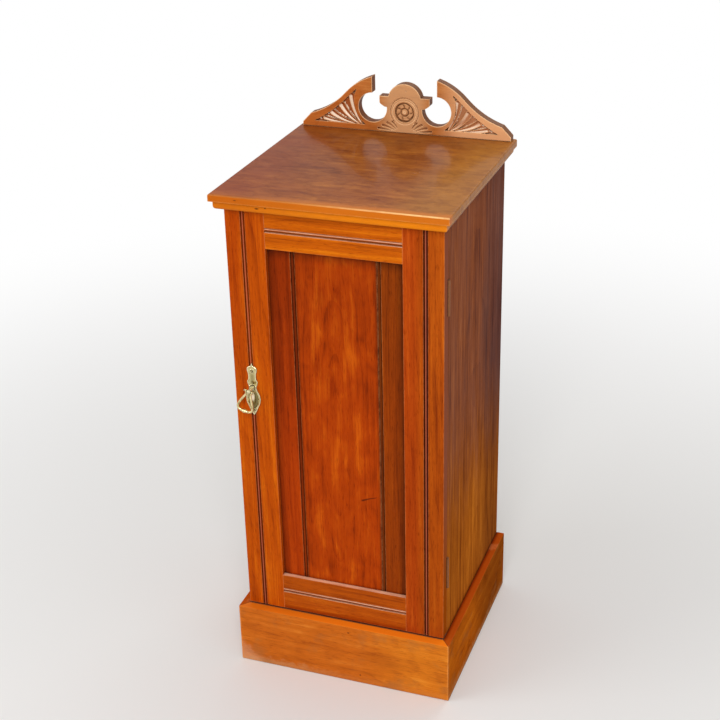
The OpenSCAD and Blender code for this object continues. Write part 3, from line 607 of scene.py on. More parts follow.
front_board = polished_board(
    "walnut_plinth_front", "zyx", (0.0, -0.16, 0.0), ((236, 148, 46), (212, 117, 24), (160, 76, 14)),
    heart=52.0, lean=0.06, wander=44.0, rings=9.0, ring_strength=0.42, streaks=0.4, mottle=0.5, rub=0.6,
    worn=(238, 158, 84), shine=0.36, gloss=0.06, gather=0.4, marks=front_skirt,
)
finish_node("plinth_front", front_board, 0.0010)
for name, x, lean in (("plinth_left", -0.16, -0.07), ("plinth_right", 0.16, 0.05)):
    board = polished_board(
        "walnut_" + name, "zxy", (x, 0.02, 0.0), ((206, 112, 24), (186, 94, 18), (140, 62, 12)),
        heart=60.0, lean=lean, wander=36.0, rings=8.0, ring_strength=0.35, streaks=0.45, mottle=0.7,
        rub=0.5, worn=(206, 128, 66), shine=0.40, gloss=0.0, gather=0.75, marks=side_skirt,
    )
    finish_node(name, board, 0.0010)
plinth_pine = dry_board("pine_plinth", "zyx", (0.0, 0.1, 0.05), dull=0.75, knots=0.8)
for name in ("plinth_back", "plinth_blocks"):
    finish_node(name, plinth_pine, 0.0008)
# The packing shows in the gap under the door; it is stained dark red-brown, which also stands in as painted
# shadow in that gap
STAIN_TONES = ((132, 58, 18), (112, 44, 12), (76, 28, 8))
stained_pine = dry_board("pine_stained", "zyx", (0.0, -0.14, 0.05), STAIN_TONES, dull=0.6)
finish_node("plinth_packing", stained_pine, 0.0008)

# ---------- Top board ----------
# One walnut board, grain across the cupboard, moulded on its front and ends. The polish is glossy and
# paler along the front edge; the front arris has a painted pale highlight, and the right end and back a
# painted golden reflection.
TOP_DENTS = ((-96.0, -15.0, 3.6, 1.6), (-84.0, -13.5, 1.8, 1.2), (-124.0, -5.0, 2.4, 0.9))


def top_wear(place, wood):
    """Redder at the left, a painted golden reflection at the right and the back, a painted pale highlight on
    the front arris, and small dents in the front edge.
    """
    x, y, z = split(place)
    soft = cloud(place, (0.012, 0.016, 0.01), 3.0, 0.6)
    blots = cloud(place, (0.035, 0.07, 0.03), 4.0, 0.7, 0.8)
    wood = tint(span(soft * 110.0 + x, 20.0, -110.0, 0.0, 0.6), wood, colour(152, 62, 24))
    worn_less = span(y, -125.0, -30.0) * span(x, 110.0, 20.0)
    wood = shaded(worn_less, wood, (0.87, 0.87, 0.95))
    # Painted golden reflection of the pediment, at the right end and along the back
    wood = tint(span(soft * 60.0 + x, 80.0, 170.0, 0.0, 0.6), wood, colour(186, 126, 52))
    wood = tint(span(y, 60.0, 150.0, 0.0, 0.35), wood, colour(168, 102, 42))
    wood = shaded(span(blots, 0.42, 0.66), wood, (0.78, 0.74, 0.88))
    rubbed_edge = span(blots * 12.0 + y, -142.0, -158.0, 0.0, 0.85) * span(x, -120.0, 20.0, 0.3, 1.0)
    wood = tint(rubbed_edge, wood, colour(214, 122, 38))
    moulding = span(y, -160.0, -162.5)
    wood = tint(moulding * span(z, -1.0, -1.6) * 0.65, wood, colour(198, 98, 8))
    golden = span(x, -150.0, 130.0, 0.3, 0.75) * span(blots, 0.35, 0.6, 0.7, 1.0)
    wood = tint(moulding * span(z, -9.5, -10.5) * golden, wood, colour(232, 134, 14))
    # Painted pale highlight along the front arris
    arris = span(y, -165.9, -167.0) * span(z, -2.1, -1.2) * span(x, -60.0, 130.0, 0.1, 0.9)
    wood = tint(arris * span(blots, 0.25, 0.6, 0.55, 1.0), wood, colour(255, 206, 140))
    broken = cloud(place, (0.5, 0.5, 0.5), 3.0)
    on_front = span(y, -150.0, -158.0)
    for dent in TOP_DENTS:
        dented = span(from_spot(x, z, dent) + broken, 1.4, 0.7, 0.0, 0.8)
        wood = tint(dented * on_front, wood, colour(66, 28, 12))
    upward = span(facing(place)[2], 0.3, 0.9, 0.25, 1.0)
    return wood, upward * span(blots, 0.3, 0.7, 0.095, 0.05)


top_walnut = polished_board(
    "walnut_top", "yzx", (0.0, 0.0, 0.742), ((191, 113, 40), (165, 89, 30), (127, 60, 22)), heart=180.0,
    lean=0.06, wander=60.0, rings=11.0, ring_strength=0.35, streaks=0.45, mottle=0.8, rub=0.45,
    reach=0.0026, worn=(240, 168, 90), shine=0.24, gloss=0.022, coat_rough=0.05, marks=top_wear,
)
finish_node("top_board", top_walnut)

# ---------- Pediment ----------
# One walnut board sawn to a broken swan neck with a domed middle, pierced by two round
# openings. Fans of curved flutes are sunk in the necks and a roundel of petals in the middle.
PEDIMENT_FRONT = 153.0
PEDIMENT_BACK = 168.0
PEDIMENT_FOOT = 742.0
STEP = 0.7


def arc(centre, radius, start, end):
    """Points along an arc, angles in degrees."""
    steps = max(2, int(abs(math.radians(end - start)) * radius / STEP) + 1)
    turns = [math.radians(start + (end - start) * i / steps) for i in range(steps + 1)]
    return [(centre[0] + radius * math.cos(t), centre[1] + radius * math.sin(t)) for t in turns]


def stepped(points, pitch=STEP):
    """A path with points no further apart than the pitch, its last point left out."""
    made = []
    for (ax, az), (bx, bz) in zip(points, points[1:]):
        steps = max(1, round(math.hypot(bx - ax, bz - az) / pitch))
        made += [(ax + (bx - ax) * i / steps, az + (bz - az) * i / steps) for i in range(steps)]
    return made


OPENING = (48.0, 34.7)
OPENING_R = 21.5
NECK_X = 48.5
NECK_TOP = 79.5
NECK_SLOPE = 17.0
CONVEX_R = 91.6
HOLLOW_R = 123.0
SLOPE_L = 9.0
slope_sin, slope_cos = math.sin(math.radians(NECK_SLOPE)), math.cos(math.radians(NECK_SLOPE))
half_way = math.sqrt(0.5)
convex_c = (NECK_X - CONVEX_R * slope_sin, NECK_TOP - CONVEX_R * slope_cos)
slope_top = (convex_c[0] + CONVEX_R * half_way, convex_c[1] + CONVEX_R * half_way)
slope_low = (slope_top[0] + SLOPE_L * half_way, slope_top[1] - SLOPE_L * half_way)
hollow_c = (slope_low[0] + HOLLOW_R * half_way, slope_low[1] + HOLLOW_R * half_way)
neck_low = OPENING[1] + math.sqrt(OPENING_R**2 - (NECK_X - OPENING[0]) ** 2)
neck_angle = math.degrees(math.atan2(neck_low - OPENING[1], NECK_X - OPENING[0]))
DOME_R = 25.0
DOME_Z = 46.5
EAR = (37.6, 52.5)
dome_foot = math.degrees(math.asin((EAR[1] - DOME_Z) / DOME_R))

right_side = (
    [(0.0, 0.0), (157.0, 0.0), (157.0, 6.0)]
    + arc(hollow_c, HOLLOW_R, 253.0, 225.0)
    + arc(convex_c, CONVEX_R, 45.0, 90.0 - NECK_SLOPE)
    + arc(OPENING, OPENING_R, neck_angle, -184.5)
    + [(30.0, 37.0), (34.2, 39.3), (37.0, 41.6), (37.6, 43.0), EAR]
    + arc((0.0, DOME_Z), DOME_R, dome_foot, 90.0)
)
right_side = stepped(right_side)
outline = np.array(right_side + [(-x, z) for x, z in reversed(right_side[1:])])


def reach_in(points, loop):
    """Distance of each point from a closed loop, positive inside it."""
    start, end = loop, np.roll(loop, -1, axis=0)
    nearest = np.full(len(points), 1e9)
    crossings = np.zeros(len(points), bool)
    for (ax, az), (bx, bz) in zip(start, end):
        run = np.array((bx - ax, bz - az))
        length = max(run @ run, 1e-12)
        along = np.clip(((points[:, 0] - ax) * run[0] + (points[:, 1] - az) * run[1]) / length, 0, 1)
        off = np.hypot(points[:, 0] - ax - along * run[0], points[:, 1] - az - along * run[1])
        nearest = np.minimum(nearest, off)
        spans = (az > points[:, 1]) != (bz > points[:, 1])
        if abs(bz - az) > 1e-12:
            crossings ^= spans & (points[:, 0] < ax + (points[:, 1] - az) * (bx - ax) / (bz - az))
    return np.where(crossings, nearest, -nearest)


def eased(value, low, high):
    """0 below low, 1 above high, with a soft run between."""
    t = np.clip((value - low) / (high - low), 0, 1)
    return t * t * (3 - 2 * t)


FIELD_LOW = 8.5
FIELD_TIP_X = 139.0
BORDER = 6.75
FIELD_INNER = (34.5, 42.4)
FIELD_INNER_R = 41.7
SINK = 3.0
field_corner = (slope_low[0] - BORDER * half_way, slope_low[1] - BORDER * half_way)
tip_run = (FIELD_TIP_X - field_corner[0], FIELD_LOW - field_corner[1])
tip_turn = 45.0 + math.degrees(math.atan2(tip_run[1], tip_run[0]))
tip_r = math.hypot(*tip_run) / (2 * math.sin(math.radians(tip_turn)))
tip_c = (field_corner[0] + tip_r * half_way, field_corner[1] + tip_r * half_way)
field = (
    [(NECK_X, FIELD_LOW)]
    + arc(tip_c, tip_r, 225.0 + 2 * tip_turn, 225.0)
    + arc(convex_c, CONVEX_R - BORDER, 45.0, 57.0)
    + [(NECK_X, FIELD_LOW)]
)
field = np.array(stepped(field, 2.0))

# Each flute of a fan: its root, its bend, its round end, and half of its width there
FLUTES = (
    ((66.0, 10.5), (77.5, 27.0), (79.5, 49.0), 4.7),
    ((70.0, 10.0), (87.0, 20.0), (95.0, 34.5), 4.8),
    ((77.0, 9.5), (97.0, 13.5), (110.0, 23.0), 4.2),
    ((90.0, 9.2), (106.0, 9.8), (122.0, 13.6), 2.9),
)
SPRAYS = (
    ((11.0, 6.0), (13.5, 12.5), (18.0, 15.5), 2.1),
    ((13.0, 4.4), (18.5, 11.0), (26.0, 13.6), 2.2),
    ((15.5, 3.2), (24.0, 8.0), (33.0, 9.6), 2.1),
    ((19.0, 2.6), (30.0, 4.0), (40.0, 5.0), 1.6),
)
FLUTE_DEEP = 2.9
SPRAY_DEEP = 2.2
PITS = (
    (73.0, 58.0, 1.5), (88.5, 46.5, 1.9), (103.8, 31.8, 1.8), (116.5, 20.8, 1.5), (128.5, 12.6, 1.5),
)
PIT_DEEP = 1.4
ROUNDEL_Z = 30.2
RING_R = 21.0
INNER_RING_R = 17.6
DISH_R = 14.2
DISH_DEEP = 3.1
PETALS = 7
BOSS_R = 5.0
WORM_HOLES = ((2.7, 61.6), (-3.5, 51.9))


def gouge_path(root, bend, end, half_width):
    """The way a gouge goes: how far it is along, its middle, and half of its width there."""
    turns = np.linspace(0, 1, 28)[:, None]
    path = (1 - turns) ** 2 * np.array(root) + 2 * turns * (1 - turns) * np.array(bend)
    path = path + turns**2 * np.array(end)
    return [(t, middle, half_width * (0.22 + 0.78 * t**0.7)) for t, middle in zip(turns[:, 0], path)]


def gouge(points, cut, depth, floor):
    """A curved gouge cut that widens from its root to a round end; returns the lowered face."""
    lowest = floor.copy()
    for t, middle, wide in gouge_path(*cut):
        deep = depth * (0.35 + 0.65 * t**0.8)
        off = np.hypot(points[:, 0] - middle[0], points[:, 1] - middle[1]) / wide
        lowest = np.where(off < 1, np.minimum(lowest, floor - deep * (1 - off**2)), lowest)
    return lowest


def carved_face(points):
    """Depth of the carved face at each point, in millimetres, 0 at the flat border."""
    x, z = np.abs(points[:, 0]), points[:, 1]
    right = np.column_stack((x, z))
    face = np.zeros(len(points))
    from_inner = np.hypot(x - FIELD_INNER[0], z - FIELD_INNER[1]) - FIELD_INNER_R
    in_field = np.minimum(reach_in(right, field), from_inner)
    # The fan stands a little below the border, and the ground round its ends is sunk deep
    fan = np.full(len(points), -1e9)
    for flute in FLUTES:
        for _, middle, wide in gouge_path(*flute):
            fan = np.maximum(fan, wide + 0.5 - np.hypot(x - middle[0], z - middle[1]))
    ground = -SINK * (1 - 0.8 * eased(fan, -0.5, 0.3))
    face = face + ground * eased(in_field, 0.0, 0.7)
    for flute in FLUTES:
        face = np.where(in_field > 0.2, gouge(right, flute, FLUTE_DEEP, face), face)
    for at_x, at_z, radius in PITS:
        off = np.hypot(x - at_x, z - at_z) / radius
        pit = np.minimum(face, -SINK - PIT_DEEP * (1 - off**2))
        face = np.where((off < 1) & (in_field > 0), pit, face)
    # Roundel: an incised ring open at its foot, and a dish with overlapping petals round a boss
    from_middle = np.hypot(points[:, 0], z - ROUNDEL_Z)
    turn = np.arctan2(points[:, 0], z - ROUNDEL_Z)
    closed = eased(np.abs(turn), 2.55, 2.25)
    for ring, half_width, deep in ((RING_R, 1.15, 1.5 * closed), (INNER_RING_R, 0.8, 0.7)):
        off = np.abs(from_middle - ring) / half_width
        face = np.where(off < 1, np.minimum(face, -deep * (1 - off)), face)
    in_dish = DISH_R + 0.6 - from_middle
    face = np.where(in_dish > 0, -DISH_DEEP * eased(in_dish, 0.0, 0.9), face)
    share = (turn / (2 * math.pi) * PETALS + 0.045 * (from_middle - BOSS_R)) % 1.0
    tip = 12.9 - 2.6 * np.abs(share - 0.42) ** 1.6
    petal = (0.35 + 1.9 * np.sin(np.clip(share * 1.12, 0, 1) * 2.2)) * eased(from_middle, 5.6, 7.4)
    petal = petal * eased(tip - from_middle, -0.2, 1.3) - 0.5 * np.exp(-(((from_middle - 9.6) / 1.2) ** 2))
    face = np.where(from_middle < DISH_R - 0.3, face + np.maximum(petal, 0.0), face)
    boss = np.sqrt(np.clip(1 - (from_middle / BOSS_R) ** 2, 0, 1)) * 2.9 - DISH_DEEP
    cup = 0.5 * np.exp(-((from_middle / 1.5) ** 2))
    face = np.where(from_middle < BOSS_R, np.maximum(face, boss) - cup, face)
    for spray in SPRAYS:
        face = np.where(from_middle > RING_R + 1.0, gouge(right, spray, SPRAY_DEEP, face), face)
    for at_x, at_z in WORM_HOLES:
        off = np.hypot(points[:, 0] - at_x, z - at_z) / 0.9
        face = np.where(off < 1, face - 1.1 * (1 - off**4), face)
    return face


def turned_out(mesh):
    """Turns every face of a closed mesh outwards, and leaves all other meshes alone."""
    worked = bmesh.new()
    worked.from_mesh(mesh)
    bmesh.ops.recalc_face_normals(worked, faces=worked.faces)
    worked.to_mesh(mesh)
    worked.free()


ROW_RISE = 0.866
SHARP_ANGLE = math.radians(48)


def plate_mesh(name, loop, grid, place, face_height, back, material):
    """A sawn plate with a carved face. Loop and grid are in its plane; place sets each point."""
    low, high = loop.min(0), loop.max(0)
    xs = np.arange(low[0] + grid / 2, high[0], grid)
    zs = np.arange(low[1] + grid / 2, high[1], grid * ROW_RISE)
    rows = [
        np.column_stack((xs + (grid / 2 if i % 2 else 0), np.full(len(xs), z))) for i, z in enumerate(zs)
    ]
    inner = np.vstack(rows)
    inner = inner[reach_in(inner, loop) > grid * 0.45]
    points = np.vstack((loop, inner))
    count = len(loop)
    edge = [(i, (i + 1) % count) for i in range(count)]
    flat, _, faces, source, _, _ = delaunay_2d_cdt([Vector(p) for p in points], edge, [], 1, 1e-7)
    flat = np.array([tuple(p) for p in flat])
    home = {s: i for i, found in enumerate(source) for s in found if s < count}
    front = [place(x, z, h) for (x, z), h in zip(flat, face_height(flat))]
    rear = [place(x, z, back) for x, z in loop]
    base = len(front)
    walls = [(home[i], base + i, base + j, home[j]) for i, j in edge]
    mesh = bpy.data.meshes.new(name)
    mesh.from_pydata(front + rear, [], [tuple(f) for f in faces] + walls + [tuple(range(base, base + count))])
    mesh.validate()
    piece = placed(name, mesh)
    mesh.materials.append(material)
    turned_out(mesh)
    mesh.shade_smooth()
    mesh.set_sharp_from_angle(angle=SHARP_ANGLE)
    return piece


def pediment_face(points):
    """The carved face, with its outer arris rubbed round."""
    arris = np.clip(1 - reach_in(points, outline) / 1.2, 0, 1)
    return carved_face(points) - 0.5 * arris**1.5


def carver_marks(place, wood):
    """Painted shade on the sawn edges, the back and the carved hollows, painted highlights on the front
    arrises and on the flute walls that look up and right; the middle and the right neck are paler.
    """
    x, y, z = split(place)
    from_middle = abs(x)
    looks_x, looks_y, looks_z = facing(place)
    soft = cloud(place, (0.03, 0.03, 0.03), 3.0, 0.6)
    wood = tint(span(soft * 50.0 + x, -10.0, -70.0, 0.0, 0.45), wood, colour(196, 98, 34))
    wood = tint(span(from_middle, 46.0, 18.0, 0.0, 0.65), wood, colour(224, 174, 126))
    wood = tint(span(x, 40.0, 90.0, 0.0, 0.7), wood, colour(244, 186, 136))
    forward = span(looks_y, -0.25, -0.55)
    cut = span(y, 0.55, 1.1) * forward
    # Painted shade deep in the cut sprays and in the roundel
    spray = cut * span(z, 18.5, 17.5) * span(from_middle, 46.0, 44.0)
    wood = shaded(spray * 0.8, wood, (0.56, 0.48, 0.42))
    roundel = span(from_middle, 23.0, 22.0) * span(z, 8.0, 9.0) * span(z, 52.5, 51.5)
    carved = roundel * forward * span(y, 1.5, 3.1)
    wood = shaded(carved * 0.85, wood, (0.42, 0.34, 0.27))
    # Painted highlight along the front arrises
    lips = span(y, 0.05, 0.2) * span(y, 0.75, 0.5)
    wood = tint(lips * span(soft, 0.3, 0.6, 0.3, 0.8), wood, colour(250, 206, 158))
    # Painted highlight where a flute wall looks up and to the right, and painted shade, brown, on its other
    # wall
    flute = cut * span(from_middle, 58.0, 64.0)
    upper = span(looks_x * 0.75 + looks_z * 0.66, -0.02, 0.24)
    wood = tint(flute * (1.0 - upper) * 0.6, wood, colour(132, 58, 22))
    dusty = flute * upper * span(y, 0.9, 1.5)
    wood = tint(dusty * span(x, 20.0, -40.0, 0.8, 0.95), wood, colour(255, 232, 204))
    # Painted shade on the sawn edges, and less on the back
    edge = span(y, 0.5, 1.0) * (1.0 - forward)
    wood = tint(edge * span(looks_y, 0.5, 0.8, 0.85, 0.4), wood, colour(100, 52, 18))
    return wood, dusty * 0.6


carved_walnut = polished_board(
    "walnut_carved", "zyx", (0.0, 0.153, 0.742), ((214, 142, 76), (186, 110, 50), (138, 70, 28)),
    heart=90.0, lean=0.05, wander=24.0, rings=7.0, ring_strength=0.5, streaks=0.5, mottle=0.4, rub=0.9,
    reach=0.0014, gather=0.9, hollow=0.0028, worn=(240, 180, 124), shine=0.42, gloss=0.05,
    coat_rough=0.25, marks=carver_marks,
)
pediment = plate_mesh(
    "pediment_carved", outline, STEP,
    lambda x, z, h: (x / 1000, (PEDIMENT_FRONT - h) / 1000, (PEDIMENT_FOOT + z) / 1000),
    pediment_face, PEDIMENT_FRONT - PEDIMENT_BACK, carved_walnut,
)
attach(pediment, "cabinet")
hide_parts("pediment")

# ---------- Door frame ----------
# Two stiles and two rails of walnut, tenoned together, each run with a reed between quirks.
# Bright orange-brown; the top rail is the palest, and the hands have darkened the left stile.
FRAME_TONES = ((212, 104, 12), (184, 76, 6), (128, 42, 4))
REED_X = 125.0
REED_HALF = 3.1


def reed_polish(off, wood, strength=1.0):
    """Darker in and around the reed of a stile, with a painted highlight down its crown; off is from its
    middle.
    """
    off = abs(off)
    wood = shaded(span(off, REED_HALF + 3.0, REED_HALF), wood, (0.82, 0.78, 0.9))
    brown = span(off, REED_HALF + 0.2, REED_HALF - 0.4) * strength
    wood = shaded(brown, wood, (0.52, 0.38, 0.64))
    # Painted highlight down the crown of the reed
    return tint(span(off, 0.8, 0.3, 0.0, 0.5), wood, colour(206, 120, 92))


def left_stile_marks(place, wood):
    """A little duller up and out, with the darkening of its reed fading upwards."""
    x, _, z = split(place)
    wood = shaded(span(x, 48.0, 30.0) * span(z, 120.0, 260.0), wood, (0.88, 0.76, 0.9))
    return reed_polish(x + (REED_X - 170.0), wood, span(z, -60.0, 220.0, 1.0, 0.35))


def right_stile_marks(place, wood):
    """Redder and duller towards the panel and the foot, dark brown on the edge by the hinges."""
    x, _, z = split(place)
    wood = shaded(span(x, -66.0, -84.0), wood, (0.96, 0.72, 0.9))
    wood = shaded(span(z, 60.0, -260.0), wood, (0.92, 0.88, 0.9))
    edge = tint(span(z, -380.0, -120.0), colour(159, 74, 13), colour(147, 84, 62))
    wood = tint(span(facing(place)[0], 0.5, 0.8, 0.0, 0.95), wood, edge)
    return reed_polish(x + (190.0 - REED_X), wood)


def rail_dust(reed_z, grimy_foot=0.0):
    """Pale on what looks up along the reed and the rail's edge, partly dust and partly painted highlight; a
    dark crown, and a painted shadow along the foot.
    """

    def marks(place, wood):
        uneven = cloud(place, (0.03, 0.2, 0.2), 4.0, 0.7)
        off = split(place)[2] - reed_z
        # Painted shadow along the rail's lower edge
        grime = span(uneven * 5.0 + off, -20.0, -29.0, 0.0, grimy_foot)
        wood = shaded(grime, wood, (0.66, 0.46, 0.55))
        crown = span(off, -2.7, -2.1) * span(off, 1.1, 0.5)
        wood = tint(crown * 0.75, wood, colour(96, 40, 16))
        upper = span(off, 0.5, 1.2) * span(off, 3.1, 2.6)
        lower = span(off, -3.6, -3.1) * span(off, -2.4, -2.9)
        # What looks up is pale: partly dust, partly painted highlight
        looks_up = span(facing(place)[2], 0.35, 0.75)
        pale = upper.step("MAXIMUM", lower.step("MAXIMUM", looks_up))
        return tint(pale * span(uneven, 0.3, 0.6, 0.5, 0.95), wood, colour(244, 184, 150))

    return marks


DOOR_LOOK = dict(
    heart=90.0, lean=0.05, wander=22.0, rings=7.0, ring_strength=0.45, streaks=0.65, pores=0.5,
    mottle=0.25, rub=0.55, reach=0.0016, gather=0.95, hollow=0.0045, worn=(224, 140, 84), shine=0.28,
    gloss=0.02,
)


def door_board(name, grain, spot, tones=FRAME_TONES, arris=0.0006, **changes):
    """One polished walnut board of the door, with its quirks dark."""
    board = polished_board("walnut_" + name, grain, spot, tones, **{**DOOR_LOOK, **changes})
    finish_node("door_" + name, board, arris)


door_board(
    "stile_left", "xyz", (-0.17, -0.14, 0.30), heart=110.0, lean=0.06, gather=0.5, marks=left_stile_marks
)
door_board(
    "stile_right", "xyz", (0.19, -0.14, 0.52), ((200, 102, 24), (175, 78, 16), (120, 42, 12)), heart=80.0,
    lean=-0.05, gloss=0.0, marks=right_stile_marks,
)
door_board(
    "rail_top", "zyx", (0.02, -0.14, 0.76), ((218, 116, 14), (193, 90, 8), (142, 58, 6)), heart=100.0,
    gather=0.45, marks=rail_dust(692.0 - 760.0),
)
door_board(
    "rail_bottom", "zyx", (-0.05, -0.14, 0.07), ((206, 106, 22), (176, 78, 12), (122, 44, 8)), heart=70.0,
    lean=-0.05, gather=0.45, marks=rail_dust(129.5 - 70.0, 0.9),
)

# ---------- Door panel ----------
# Three upright walnut boards, tongued together with a bead at each joint. The middle board is
# the show piece, with pointed figure; the left is red and straight, the right is dull brown.
PANEL_JOINT_X = 58.6
# Soft dark clouds of figure in the middle board, as the dents are given
FIGURE_CLOUDS = (
    (-18.0, 204.0, 9.0, 24.0), (3.0, 214.0, 7.0, 18.0), (-26.0, 103.0, 9.0, 26.0), (-6.0, 76.0, 10.0, 30.0),
)
CRACK = (34.0, -96.5)
CRACK_SLOPE = 0.39


def aged_panel(spot_x, head, at_top, by_stile=0.0, clouds=(), cracked=False):
    """Darker up the board, with painted shade under the rail at its head and painted shadow beside the
    stiles, brown polish gathered beside the beaded joints, perhaps dark clouds of figure, and perhaps a short
    old crack."""

    def marks(place, wood):
        x, _, z = split(place)
        uneven = cloud(place, (0.12, 0.12, 0.05), 3.0)
        ragged = cloud(place, (0.16, 0.16, 0.035), 4.0, 0.7, 1.0)
        wood = shaded(span(z, -20.0, 230.0), wood, at_top)
        # Painted shade under the rail at the board's head
        under_rail = span(uneven * 10.0 + z, head - 14.0, head + 3.0, 0.0, 0.9)
        wood = shaded(under_rail, wood, (0.52, 0.58, 0.9))
        from_middle = abs(x + spot_x)
        # Painted shadow beside the stiles
        wood = shaded(span(from_middle, 79.0, 93.0, 0.0, by_stile), wood, (0.48, 0.52, 0.9))
        for dark in clouds:
            away = from_spot(x, z, dark) + ragged * 2.4
            wood = shaded(span(away, 2.2, 0.7, 0.0, 0.8), wood, (0.62, 0.46, 0.6))
        from_joint = abs(from_middle - PANEL_JOINT_X)
        wood = shaded(span(uneven * 3.0 + from_joint, 8.0, 2.5, 0.0, 0.85), wood, (0.46, 0.50, 0.9))
        if cracked:
            start_x, start_z = CRACK
            off = abs((x - start_x) * -CRACK_SLOPE + (z - start_z) + uneven * 3.0)
            crack = span(off - span(x, start_x, 50.0, 1.5, 0.7), 0.4, -0.5)
            crack = crack * span(x, 31.0, start_x) * span(x, 57.0, 53.0)
            wood = tint(crack * 0.75, wood, colour(66, 24, 10))
        return wood

    return marks


door_board(
    "panel_left", "xyz", (-0.20, -0.14, 0.38), ((192, 72, 10), (164, 55, 6), (108, 30, 4)), 0.0003,
    heart=120.0, wander=16.0, hollow=0.012, marks=aged_panel(-200.0, 286.0, (0.72, 0.72, 0.9), 0.5),
)
door_board(
    "panel_middle", "xyz", (-0.004, -0.14, 0.40), ((200, 88, 12), (170, 60, 6), (120, 36, 4)), 0.0003,
    heart=4.0, lean=0.10, wander=34.0, rings=8.0, ring_strength=0.55, streaks=0.45, mottle=0.7,
    hollow=0.012, marks=aged_panel(-4.0, 266.0, (0.90, 0.92, 1.0), clouds=FIGURE_CLOUDS, cracked=True),
)
door_board(
    "panel_right", "xyz", (0.21, -0.14, 0.44), ((168, 76, 12), (143, 57, 8), (98, 35, 6)), 0.0003,
    heart=120.0, wander=16.0, streaks=0.7, hollow=0.012,
    marks=aged_panel(210.0, 226.0, (0.90, 0.98, 1.0), 0.9),
)

# ---------- Hinges ----------
# Two brass butts with brass pins, let into the door's back and the case, dull and brown with
# age, with small brass screws.
dull_brass = old_metal(
    "dull_brass", ((138, 84, 40), (98, 54, 26), (48, 28, 16)), 0.66, (0.55, 0.75), 0.35
)
for which in ("upper", "lower"):
    for part in ("case_leaf", "door_leaf", "pin"):
        finish_node(which + "_hinge_" + part, dull_brass)
finish_node("hinge_screws_case", dull_brass)
finish_node("hinge_screws_door", dull_brass)

# ---------- Handle ----------
# Stamped and cast brass: a long plate with a raised rim and a domed leaf, pinned to the stile; a
# post with a ball; and a three-cornered drop that swings on a pin through the ball.
HANDLE_LOOK = dict(brightness=0.52, rough=(0.14, 0.30), grain_mm=7.0, pitted=0.12)
post_brass = old_metal(
    "post_brass", ((214, 206, 162), (150, 138, 98), (60, 48, 24)), brightness=0.55, rough=(0.30, 0.48),
    metallic=0.4, grain_mm=5.0, pitted=0.2,
)
for name in ("handle_post", "handle_cross_pin", "handle_washer", "handle_nut"):
    finish_node(name, post_brass)
pin_brass = old_metal("pin_brass", ((160, 146, 104), (112, 98, 62), (60, 48, 24)), metallic=0.6)
finish_node("handle_plate_pins", pin_brass)

POST_X = -124.0
POST_Z = 459.0
DOOR_FACE = -147.0
BALL_Y = -161.0
# Half of the plate's outline, from the tip of its crest to the tip of its leaf, about the post
PLATE_SIDE = (
    (0.0, 37.6), (1.0, 34.9), (2.1, 32.9), (5.0, 31.4), (7.2, 29.6), (7.3, 25.2), (6.0, 20.0), (6.0, 13.0),
    (7.9, 9.0), (7.0, 4.6), (5.6, 0.6), (6.6, -4.6), (9.6, -10.4), (10.9, -17.5), (9.6, -25.0),
    (6.4, -31.6), (3.8, -37.4), (0.0, -43.2),
)
PLATE_FIELD = 0.9
PLATE_RIM = 0.65
PLATE_GRID = 0.42
PLATE_BACK = 0.02
LEAF = (0.0, -17.8)
LEAF_HALF = (7.4, 14.0)
LEAF_RISE = 1.75
PIN_RINGS = ((0.0, 25.0), (0.0, -35.0))


def flowing(points, steps):
    """A smooth path through the points, steps to each run."""
    before, after = 2 * np.array(points[0]) - points[1], 2 * np.array(points[-1]) - points[-2]
    held = np.array([before, *points, after])
    made = []
    for a, b, c, d in zip(held, held[1:], held[2:], held[3:]):
        square, cube = 2 * a - 5 * b + 4 * c - d, 3 * b - a - 3 * c + d
        for t in np.arange(steps) / steps:
            made.append(0.5 * (2 * b + (c - a) * t + square * t**2 + cube * t**3))
    return np.array([*made, points[-1]])


def ridge(off, half_width):
    """A rounded ridge that falls away on both sides."""
    return np.exp(-((off / half_width) ** 2))


plate_side = flowing(PLATE_SIDE, 5)
plate_loop = np.vstack((plate_side, plate_side[-2:0:-1] * (-1, 1)))


def stamped_face(points):
    """Height of the plate's face above the stile."""
    x, z = points[:, 0], points[:, 1]
    inward = reach_in(points, plate_loop)
    face = PLATE_FIELD + PLATE_RIM * eased(inward, -0.1, 0.6) * eased(inward, 2.1, 1.3)
    aside, up = (x - LEAF[0]) / LEAF_HALF[0], np.abs(z - LEAF[1]) / LEAF_HALF[1]
    rise = np.clip(1 - aside**2 - up**1.7, 0, 1)
    face = np.maximum(face, PLATE_FIELD - 0.3 + LEAF_RISE * 1.15 * rise**0.55)
    face -= 0.5 * (rise > 0) * eased(rise, 0.12, 0.02)
    face += 0.25 * ridge(x, 0.8) * eased(rise, 0.2, 0.5)
    for groove in (-2.4, 2.4):
        face -= 0.4 * ridge(x - groove, 0.6) * eased(z, 10.0, 12.0) * eased(z, 21.0, 19.0)
    for at_x, at_z in PIN_RINGS:
        face += 0.55 * ridge(np.hypot(x - at_x, z - at_z) - 2.7, 0.5)
    face += 0.5 * ridge(np.hypot(x, z) - 4.6, 0.6)
    return np.minimum(face, PLATE_FIELD + LEAF_RISE)


